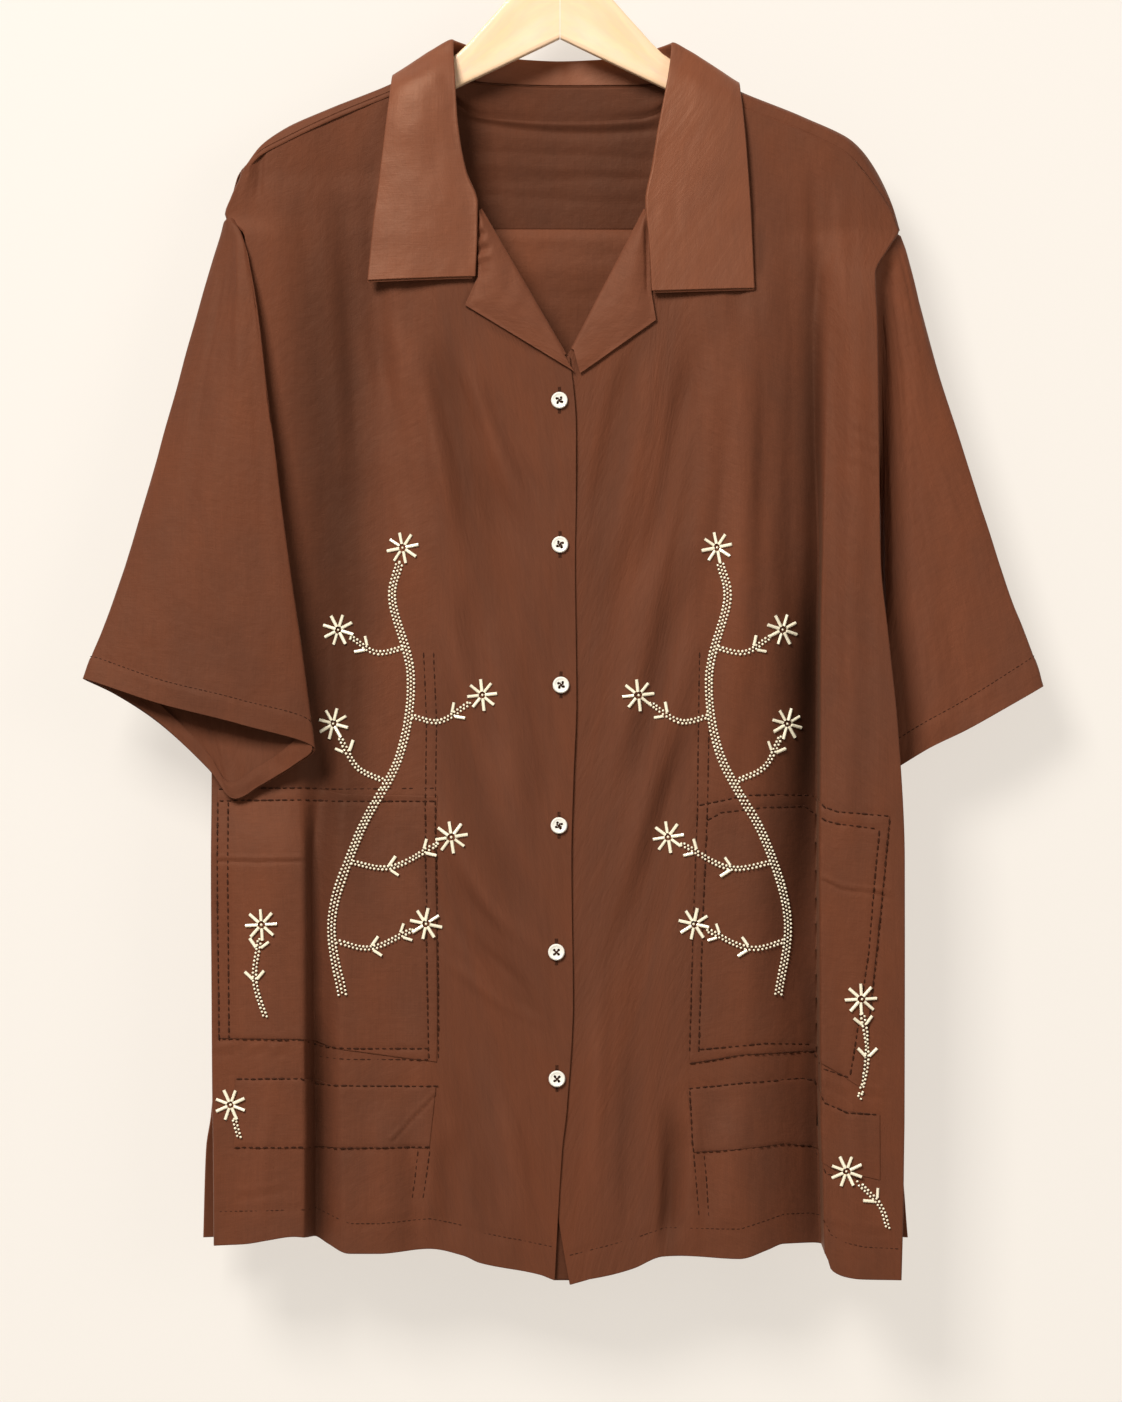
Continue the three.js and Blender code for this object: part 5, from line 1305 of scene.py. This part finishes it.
for name, (points, v, normal) in (("cuffStitchesRight", rightSleeve), ("cuffStitchesLeft", leftSleeve)):
    row = int(np.argmin(np.abs(v - cuffSet["stitchPlace"])))
    loop = np.concatenate([points[row], points[row][:1]])
    facing = np.concatenate([normal[row], normal[row][:1]])
    lengths = np.concatenate([[0], np.cumsum(np.linalg.norm(np.diff(loop, axis=0), axis=1))])
    places = np.arange(0, lengths[-1], stitchSet["hem"]["spacing"])
    p = np.stack([np.interp(places, lengths, loop[:, a]) for a in range(3)], axis=-1)
    n = np.stack([np.interp(places, lengths, facing[:, a]) for a in range(3)], axis=-1)
    q = np.stack([np.interp(places + 0.5, lengths, loop[:, a]) for a in range(3)], axis=-1)
    lifted = p + n * (clothWall / 2 + 0.05)
    placedPieces(name, stitchTree, lifted, q - p + 1e-6, n, stitchSet["hem"], threadStuff)
print("stitches set")

# beadwork: a winding stem of seed beads with side stems, leaf pairs and daisies of bugle beads
beadTree = placerTree("sewnBeads", "bead", beadStuff)
bugleTree = placerTree("sewnBugles", "bugle", beadStuff)
beadSet = {
    "seed": {"Half Width": 0.00095, "Half Height": 0.00095, "Half Length": 0.00086, "Unevenness": 0.1},
    "bugle": {"Half Width": 0.00112, "Half Height": 0.001, "Half Length": 0.0043, "Unevenness": 0.08},
    "leaf": {"Half Width": 0.00108, "Half Height": 0.001, "Half Length": 0.0036, "Unevenness": 0.1},
}
# beads along a stem, leaf roots beside it, and the daisy past its end
stemSet = {
    "spacing": 2.75, "start": 1.2, "rowGap": 2.15, "shift": 1.37,
    "leafRoot": 1.9, "leafReach": 3.4, "daisyReach": 11.5, "petalReach": 6.7,
}
# each stem: places it passes, bead rows side by side, leaf pairs along it, and whether a daisy ends it
mainStem = {
    "through": [
        (-151, -797), (-158, -742), (-141, -684), (-112, -628), (-104, -572), (-117, -520), (-112, -494),
    ],
    "rows": 3, "leaves": [], "daisy": True,
}
sideStems = [
    {"through": [(-157, -757), (-132, -762), (-104, -750)], "rows": 2, "leaves": [0.45, 0.85], "daisy": True},
    {"through": [(-148, -702), (-118, -706), (-86, -690)], "rows": 2, "leaves": [0.45, 0.85], "daisy": True},
    {"through": [(-122, -646), (-142, -636), (-153, -616)], "rows": 2, "leaves": [0.75], "daisy": True},
    {"through": [(-105, -600), (-84, -604), (-64, -592)], "rows": 2, "leaves": [0.7], "daisy": True},
    {"through": [(-107, -552), (-128, -556), (-145, -546)], "rows": 2, "leaves": [0.7], "daisy": True},
]
rightExtra = [
    {"through": [(-204, -812), (-212, -784), (-209, -757)], "rows": 2, "leaves": [0.5, 0.9], "daisy": True},
    {"through": [(-222, -896), (-226, -882)], "rows": 2, "leaves": [], "daisy": True},
]
leftExtra = [
    {"through": [(207, -868), (213, -838), (210, -808)], "rows": 2, "leaves": [0.5, 0.9], "daisy": True},
    {"through": [(228, -958), (222, -940), (207, -924)], "rows": 2, "leaves": [0.6], "daisy": True},
]


def smoothLine(places):
    # eased curve through a few places, with about a point a millimetre
    places = np.array(places, float)
    steps = np.arange(len(places))
    count = int(np.linalg.norm(np.diff(places, axis=0), axis=1).sum())
    t = np.linspace(0, len(places) - 1, max(count, 12))
    ends = [2 * places[0] - places[1], 2 * places[-1] - places[-2]]
    padded = np.concatenate([[ends[0]], places, [ends[1]]])
    i = np.minimum(t.astype(int), len(places) - 2)
    w = (t - i)[:, None]
    a, b, c, d = (padded[i + k] for k in range(4))
    square, cube = 2 * a - 5 * b + 4 * c - d, 3 * b - a - 3 * c + d
    return 0.5 * (2 * b + (c - a) * w + square * w ** 2 + cube * w ** 3)


def daisy(centre, reach, turn, seeds, bugles):
    seeds.append((centre, (1.0, 0.0)))
    for k in range(8):
        angle = k / 8 * 2 * math.pi + turn
        spoke = np.array([math.cos(angle), math.sin(angle)])
        bugles.append((centre + spoke * reach, spoke))


def beadwork(name, front, mirror, extra):
    seeds, bugles, leaves = [], [], []
    for number, stem in enumerate([mainStem] + sideStems + extra):
        flip = 1 if stem in extra else mirror
        line = smoothLine([(flip * x, z) for x, z in stem["through"]])
        x, z, direction = alongLine(line, stemSet["spacing"], stemSet["start"])
        side = np.stack([-direction[:, 1], direction[:, 0]], axis=1)
        rows = stem["rows"]
        for row in range(rows):
            offset = (row - (rows - 1) / 2) * stemSet["rowGap"]
            shift = stemSet["shift"] * (row % 2)
            seeds.extend(zip(np.stack([x, z], axis=1) + side * offset + direction * shift, direction))
        for place in stem["leaves"]:
            i = min(int(place * len(x)), len(x) - 1)
            for sign in (1, -1):
                lean = direction[i] * 0.72 + side[i] * 0.69 * sign
                root = np.array([x[i], z[i]]) + side[i] * sign * stemSet["leafRoot"]
                leaves.append((root + lean * stemSet["leafReach"], lean))
        if stem["daisy"]:
            tip = line[-1] + direction[-1] * stemSet["daisyReach"]
            seeds.append((line[-1] + direction[-1] * 1.4, direction[-1]))
            daisy(tip, stemSet["petalReach"], 0.2 + 0.37 * number, seeds, bugles)
    groups = (("Seeds", seeds, "seed"), ("Bugles", bugles, "bugle"), ("Leaves", leaves, "leaf"))
    for label, items, kind in groups:
        places = np.array([item[0] for item in items])
        directions = np.array([item[1] for item in items])
        x, z = places[:, 0], places[:, 1]
        lift = insidePatch(front, x, z) + clothWall / 2 + beadSet[kind]["Half Height"] / mm * 0.8
        p, a, n = onFront(front, x, z, directions, lift)
        tree = beadTree if kind == "seed" else bugleTree
        placedPieces(name + label, tree, p, a, n, beadSet[kind], beadStuff)


beadwork("beadsRight", frontRight, 1, rightExtra)
beadwork("beadsLeft", frontLeft, -1, leftExtra)
print("beads set")


# buttons, their thread and buttonholes

def finishMesh(name, bm, material, node=None, angle=35):
    mesh = bpy.data.meshes.new(name)
    bm.to_mesh(mesh)
    bm.free()
    mesh.materials.append(material)
    mesh.polygons.foreach_set("use_smooth", np.ones(len(mesh.polygons), bool))
    mesh.set_sharp_from_angle(angle=math.radians(angle))
    piece = bpy.data.objects.new(name, mesh)
    scene.collection.objects.link(piece)
    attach(piece, "root")
    if node:
        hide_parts(node)
    return piece


def tube(bm, points, radius, sides=8):
    # a round closed rod along points in millimetres
    points = [Vector(p) for p in points]
    side = Vector((0, 1, 0))
    rings = []
    for i, p in enumerate(points):
        along = (points[min(i + 1, len(points) - 1)] - points[max(i - 1, 0)]).normalized()
        cross = along.cross(side)
        if cross.length < 1e-3:
            cross = along.cross(Vector((1, 0, 0)))
        cross.normalize()
        up = cross.cross(along).normalized()
        rings.append([
            bm.verts.new((p + (cross * math.cos(a) + up * math.sin(a)) * radius) * mm)
            for a in (k / sides * 2 * math.pi for k in range(sides))
        ])
    for a, b in zip(rings[:-1], rings[1:]):
        for k in range(sides):
            n = (k + 1) % sides
            bm.faces.new((a[k], a[n], b[n], b[k]))
    bm.faces.new(rings[0][::-1])
    bm.faces.new(rings[-1])
    return rings


buttonSet = {"radius": 5.8, "holeRadius": 0.95, "holeReach": 1.55, "thick": 2.4, "rim": 1.3, "dish": 0.55}
buttonCentres = [(-0.4, -379.8), (0, -480.6), (0.7, -578.6), (-0.7, -676.6), (-2.5, -764.8), (-2.1, -853)]


def buttonMesh():
    s = buttonSet
    r, t, rim = s["radius"], s["thick"], s["rim"]
    profile = [
        (0, 0), (r - 0.9, 0), (r - 0.35, 0.15), (r - 0.06, 0.55), (r, 1.1), (r - 0.05, 1.6), (r - 0.3, 2.1),
        (r - 0.75, t), (r - rim, t - 0.08), (r - rim - 0.45, t - 0.35), (r - rim - 0.9, t - s["dish"]),
        (0, t - s["dish"]),
    ]
    bm = bmesh.new()
    sides = 56
    rings = []
    for radius, height in profile:
        if radius == 0:
            rings.append([bm.verts.new((0, -height * mm, 0))])
            continue
        rings.append([
            bm.verts.new((radius * math.cos(a) * mm, -height * mm, radius * math.sin(a) * mm))
            for a in (k / sides * 2 * math.pi for k in range(sides))
        ])
    for a, b in zip(rings[:-1], rings[1:]):
        for k in range(sides):
            n = (k + 1) % sides
            if len(a) == 1:
                bm.faces.new((a[0], b[k], b[n]))
            elif len(b) == 1:
                bm.faces.new((a[n], a[k], b[0]))
            else:
                bm.faces.new((a[k], b[k], b[n], a[n]))
    bmesh.ops.recalc_face_normals(bm, faces=bm.faces)
    mesh = bpy.data.meshes.new("buttonBlank")
    bm.to_mesh(mesh)
    bm.free()
    blank = bpy.data.objects.new("buttonBlank", mesh)
    scene.collection.objects.link(blank)
    drills = bmesh.new()
    for sx in (-1, 1):
        for sz in (-1, 1):
            x, z = sx * s["holeReach"], sz * s["holeReach"]
            tube(drills, [(x, 1, z), (x, -4, z)], s["holeRadius"], 18)
    bmesh.ops.recalc_face_normals(drills, faces=drills.faces)
    drillMesh = bpy.data.meshes.new("buttonDrills")
    drills.to_mesh(drillMesh)
    drills.free()
    drill = bpy.data.objects.new("buttonDrills", drillMesh)
    scene.collection.objects.link(drill)
    cut = blank.modifiers.new("cut", "BOOLEAN")
    cut.operation = "DIFFERENCE"
    cut.object = drill
    cut.solver = "EXACT"
    bpy.context.view_layer.update()
    made = bpy.data.meshes.new_from_object(blank.evaluated_get(bpy.context.evaluated_depsgraph_get()))
    bpy.data.objects.remove(blank)
    bpy.data.objects.remove(drill)
    return made


blankButton = buttonMesh()
thread = bmesh.new()
rng = np.random.RandomState(5)
for i, (x, z) in enumerate(buttonCentres):
    baseY = float(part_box("button_%d" % (i + 1))[1][1]) / mm
    bm = bmesh.new()
    bm.from_mesh(blankButton)
    turn = rng.uniform(-0.35, 0.35)
    bmesh.ops.rotate(bm, verts=bm.verts, cent=(0, 0, 0), matrix=Matrix.Rotation(turn, 3, "Y"))
    bmesh.ops.translate(bm, verts=bm.verts, vec=Vector((x, baseY, z)) * mm)
    finishMesh("buttonShell%d" % (i + 1), bm, buttonStuff, "button_%d" % (i + 1))
    faceY = baseY - buttonSet["thick"] + buttonSet["dish"]
    reach = buttonSet["holeReach"]
    for sx, sz in ((1, 1), (1, -1)):
        for strand in (-0.3, 0, 0.3):
            path = []
            for t in np.linspace(-1, 1, 11):
                a = turn + math.atan2(sz, sx)
                rise = 0.15 + 0.5 * (1 - abs(t) ** 2.5) if abs(t) < 1 else -0.8
                px = t * reach * math.sqrt(2) * math.cos(a) - strand * math.sin(a)
                pz = t * reach * math.sqrt(2) * math.sin(a) + strand * math.cos(a)
                path.append((x + px, faceY - rise, z + pz))
            path = [(path[0][0], faceY + 1.6, path[0][2])] + path + [(path[-1][0], faceY + 1.6, path[-1][2])]
            tube(thread, path, 0.19, 6)
finishMesh("buttonThread", thread, threadStuff, angle=80)

placed = []
for x, z in buttonCentres:
    for side in (-0.55, 0.55):
        zs = np.arange(z - 9, z + 9.2, 0.55)
        xs = np.full(zs.shape, x + side)
        direction = np.tile([[1.0, 0.0]], (len(zs), 1))
        placed.append(onFront(frontRight, xs, zs, direction, np.full(zs.shape, 0.52)))
points, along, facing = (np.concatenate(part) for part in zip(*placed))
buttonholeSet = {"Half Width": 0.00022, "Half Height": 0.0002, "Half Length": 0.0007, "Unevenness": 0.1}
placedPieces("buttonholeStitches", stitchTree, points, along, facing, buttonholeSet, threadStuff)
print("buttons made")

# hanger: two shaped arms mitred in the middle, and the wire hook
armStations = [
    (0.25, -78.1, 0.25, -125.1), (6, -78.4, 6, -127.9), (14, -79.9, 13, -131.3), (22, -84, 20, -134.6),
    (29.4, -89.6, 27, -137.9), (38.5, -99.1, 36, -142.2), (47, -108.8, 45, -146.5), (56, -118.7, 52, -149.8),
    (64, -127.8, 58, -152.7), (72, -135.4, 65, -156), (84, -142.8, 76, -161.2), (96, -150, 88, -167),
    (118.3, -161.6, 112, -178.4), (140, -170.6, 133, -188), (161, -178.6, 154, -198),
    (178, -186, 171, -204.5),
    (192, -193, 186, -210), (200, -199, 195, -214.5), (206, -205.4, 202, -218),
    (209.5, -210.5, 206.5, -219.4), (210.8, -214, 209, -219),
]
hangerSet = {"thick": 10, "edge": 3.4, "around": 40}


def armPiece(name, node, sign, material, lower):
    bm = bmesh.new()
    layer = bm.loops.layers.uv.new("grain")
    rows = []
    length = 0
    previous = None
    for tx, tz, bx, bz in armStations:
        tz, bz = tz - lower * ease((tx - 60) / 60), bz - lower * 0.2 * ease((tx - 60) / 60)
        height = math.hypot(tx - bx, tz - bz)
        half = hangerSet["thick"] / 2
        edge = min(hangerSet["edge"], height * 0.45)
        ring = []
        count = hangerSet["around"]
        for k in range(count):
            a = k / count * 2 * math.pi
            c, s = math.cos(a), math.sin(a)
            power = 0.42
            y = half * math.copysign(abs(c) ** power, c)
            w = math.copysign(abs(s) ** (power * edge / (height / 2) * 1.6), s)
            w = 0.5 + 0.5 * w
            ring.append((sign * mix(bx, tx, w), y, mix(bz, tz, w)))
        middle = ((tx + bx) / 2, (tz + bz) / 2)
        if previous:
            length += math.hypot(middle[0] - previous[0], middle[1] - previous[1])
        previous = middle
        rows.append(([bm.verts.new(Vector(p) * mm) for p in ring], length))
    count = hangerSet["around"]
    for (a, la), (b, lb) in zip(rows[:-1], rows[1:]):
        for k in range(count):
            n = (k + 1) % count
            face = bm.faces.new((a[k], a[n], b[n], b[k]))
            for loop, (u, v) in zip(face.loops, ((la, k), (la, k + 1), (lb, k + 1), (lb, k))):
                w = math.sin(v / count * 2 * math.pi) * 16
                loop[layer].uv = (u * mm, w * mm)
    bm.faces.new(rows[0][0][::-1])
    bm.faces.new(rows[-1][0])
    bmesh.ops.recalc_face_normals(bm, faces=bm.faces)
    finishMesh(name, bm, material, node, angle=50)


def woodMaterial():
    material, tree, shader = newMaterial("paleWood")
    uv = tree.nodes.new("ShaderNodeUVMap")
    uv.uv_map = "grain"
    stretch = tree.nodes.new("ShaderNodeMapping")
    stretch.inputs["Scale"].default_value = (9, 260, 1)
    noise = tree.nodes.new("ShaderNodeTexNoise")
    noise.inputs["Scale"].default_value = 1
    noise.inputs["Detail"].default_value = 5
    noise.inputs["Distortion"].default_value = 0.6
    flecks = tree.nodes.new("ShaderNodeTexNoise")
    flecks.inputs["Scale"].default_value = 1
    flecks.inputs["Detail"].default_value = 2
    fleckPlace = tree.nodes.new("ShaderNodeMapping")
    fleckPlace.inputs["Scale"].default_value = (60, 1500, 1)
    link(tree, uv.outputs["UV"], stretch.inputs["Vector"])
    link(tree, uv.outputs["UV"], fleckPlace.inputs["Vector"])
    link(tree, stretch.outputs["Vector"], noise.inputs["Vector"])
    link(tree, fleckPlace.outputs["Vector"], flecks.inputs["Vector"])
    ramp = tree.nodes.new("ShaderNodeValToRGB")
    ramp.color_ramp.elements[0].position = 0.3
    ramp.color_ramp.elements[0].color = (0.96, 0.60, 0.34, 1)
    ramp.color_ramp.elements[1].position = 0.66
    ramp.color_ramp.elements[1].color = (1.0, 0.73, 0.48, 1)
    link(tree, noise.outputs["Fac"], ramp.inputs["Fac"])
    tint = tree.nodes.new("ShaderNodeMix")
    tint.data_type = "RGBA"
    tint.blend_type = "MULTIPLY"
    tint.inputs["Factor"].default_value = 0.18
    link(tree, ramp.outputs["Color"], tint.inputs["A"])
    link(tree, flecks.outputs["Color"], tint.inputs["B"])
    link(tree, tint.outputs["Result"], shader.inputs["Base Color"])
    shader.inputs["Roughness"].default_value = 0.42
    shader.inputs["Coat Weight"].default_value = 0.15
    return material


paleWood = woodMaterial()
armPiece("hangerArmRight", "hanger_arm_right", -1, paleWood, 0)
armPiece("hangerArmLeft", "hanger_arm_left", 1, paleWood, 1.8)

steel, steelTree, steelShader = newMaterial("hookSteel")
steelNoise = steelTree.nodes.new("ShaderNodeTexNoise")
steelNoise.inputs["Scale"].default_value = 900
steelPlace = steelTree.nodes.new("ShaderNodeTexCoord")
steelRough = steelTree.nodes.new("ShaderNodeMapRange")
steelRough.inputs["To Min"].default_value = 0.18
steelRough.inputs["To Max"].default_value = 0.34
link(steelTree, steelPlace.outputs["Object"], steelNoise.inputs["Vector"])
link(steelTree, steelNoise.outputs["Fac"], steelRough.inputs["Value"])
link(steelTree, steelRough.outputs["Result"], steelShader.inputs["Roughness"])
steelShader.inputs["Base Color"].default_value = (0.62, 0.62, 0.6, 1)
steelShader.inputs["Metallic"].default_value = 1

hookSet = {"wireRadius": 1.75, "bendRadius": 22, "shankTop": -54, "shankFoot": -77.8}


def hookPath():
    centreZ = hookSet["wireRadius"] - hookSet["bendRadius"]
    path = []
    for t in np.linspace(0, 1, 60):
        a = math.radians(mix(195, -62, t))
        path.append((hookSet["bendRadius"] * math.cos(a), 0, centreZ + hookSet["bendRadius"] * math.sin(a)))
    a = np.array(path[-1])
    b = a + [-6.5, 0, -3.6]
    d = np.array([0, 0, hookSet["shankTop"]])
    c = d + [0, 0, 5]
    for t in np.linspace(0.08, 1, 14):
        path.append(tuple(a * (1 - t) ** 3 + 3 * b * t * (1 - t) ** 2 + 3 * c * t * t * (1 - t) + d * t ** 3))
    path.append((0, 0, hookSet["shankFoot"]))
    return path


hookMesh = bmesh.new()
tube(hookMesh, hookPath(), hookSet["wireRadius"], 20)
bmesh.ops.recalc_face_normals(hookMesh, faces=hookMesh.faces)
finishMesh("hangerHook", hookMesh, steel, "hanger_hook", angle=40)
print("hanger made")

# pale backdrop, floor and soft studio light
stageSet = {
    "wallY": 0.052, "floorZ": -1.75, "half": 6.0,
    "wall": (0.25, 0.235, 0.215), "floor": (0.40, 0.385, 0.36), "glow": 0.70,
}


def stageMaterial(name, colour, glow):
    # a plain surface that shows its face only, so that views from behind see past it
    material, tree, shader = newMaterial(name)
    shader.inputs["Base Color"].default_value = (*colour, 1)
    shader.inputs["Roughness"].default_value = 0.95
    shader.inputs["Specular IOR Level"].default_value = 0.1
    shader.inputs["Emission Color"].default_value = (0.955, 0.885, 0.80, 1)
    shader.inputs["Emission Strength"].default_value = glow
    side = tree.nodes.new("ShaderNodeNewGeometry")
    clear = tree.nodes.new("ShaderNodeBsdfTransparent")
    both = tree.nodes.new("ShaderNodeMixShader")
    link(tree, side.outputs["Backfacing"], both.inputs["Fac"])
    link(tree, shader.outputs["BSDF"], both.inputs[1])
    link(tree, clear.outputs["BSDF"], both.inputs[2])
    link(tree, both.outputs["Shader"], tree.nodes["Material Output"].inputs["Surface"])
    return material


def stagePlane(name, corners, material):
    mesh = bpy.data.meshes.new(name)
    mesh.from_pydata(corners, [], [(0, 1, 2, 3)])
    mesh.materials.append(material)
    plane = bpy.data.objects.new(name, mesh)
    scene.collection.objects.link(plane)


half, wallY, floorZ = stageSet["half"], stageSet["wallY"], stageSet["floorZ"]
wallCorners = [(-half, wallY, floorZ), (half, wallY, floorZ), (half, wallY, half), (-half, wallY, half)]
floorCorners = [(-1.8, -2.2, floorZ), (1.8, -2.2, floorZ), (1.8, 1.4, floorZ), (-1.8, 1.4, floorZ)]
stagePlane("backdrop", wallCorners, stageMaterial("paleBackdrop", stageSet["wall"], stageSet["glow"]))
stagePlane("floor", floorCorners, stageMaterial("paleFloor", stageSet["floor"], 0))

lightSet = {
    "key": {"place": (-1.6, -3.2, 2.0), "size": 1.5, "power": 235},
    "fill": {"place": (2.6, -2.8, 0.2), "size": 1.8, "power": 26},
    "rear": {"place": (0.6, 2.8, 1.2), "size": 2.2, "power": 40},
}
for name, light in lightSet.items():
    data = bpy.data.lights.new(name, "AREA")
    data.size = light["size"]
    data.energy = light["power"]
    data.color = (1.0, 0.985, 0.96)
    lamp = bpy.data.objects.new(name, data)
    scene.collection.objects.link(lamp)
    lamp.location = light["place"]
    lamp.rotation_euler = (Vector((0, 0, -0.55)) - Vector(light["place"])).to_track_quat("-Z", "Y").to_euler()
world = bpy.data.worlds.new("studio")
world.use_nodes = True
world.node_tree.nodes["Background"].inputs["Color"].default_value = (1.0, 0.965, 0.91, 1)
world.node_tree.nodes["Background"].inputs["Strength"].default_value = 0.2
scene.world = world
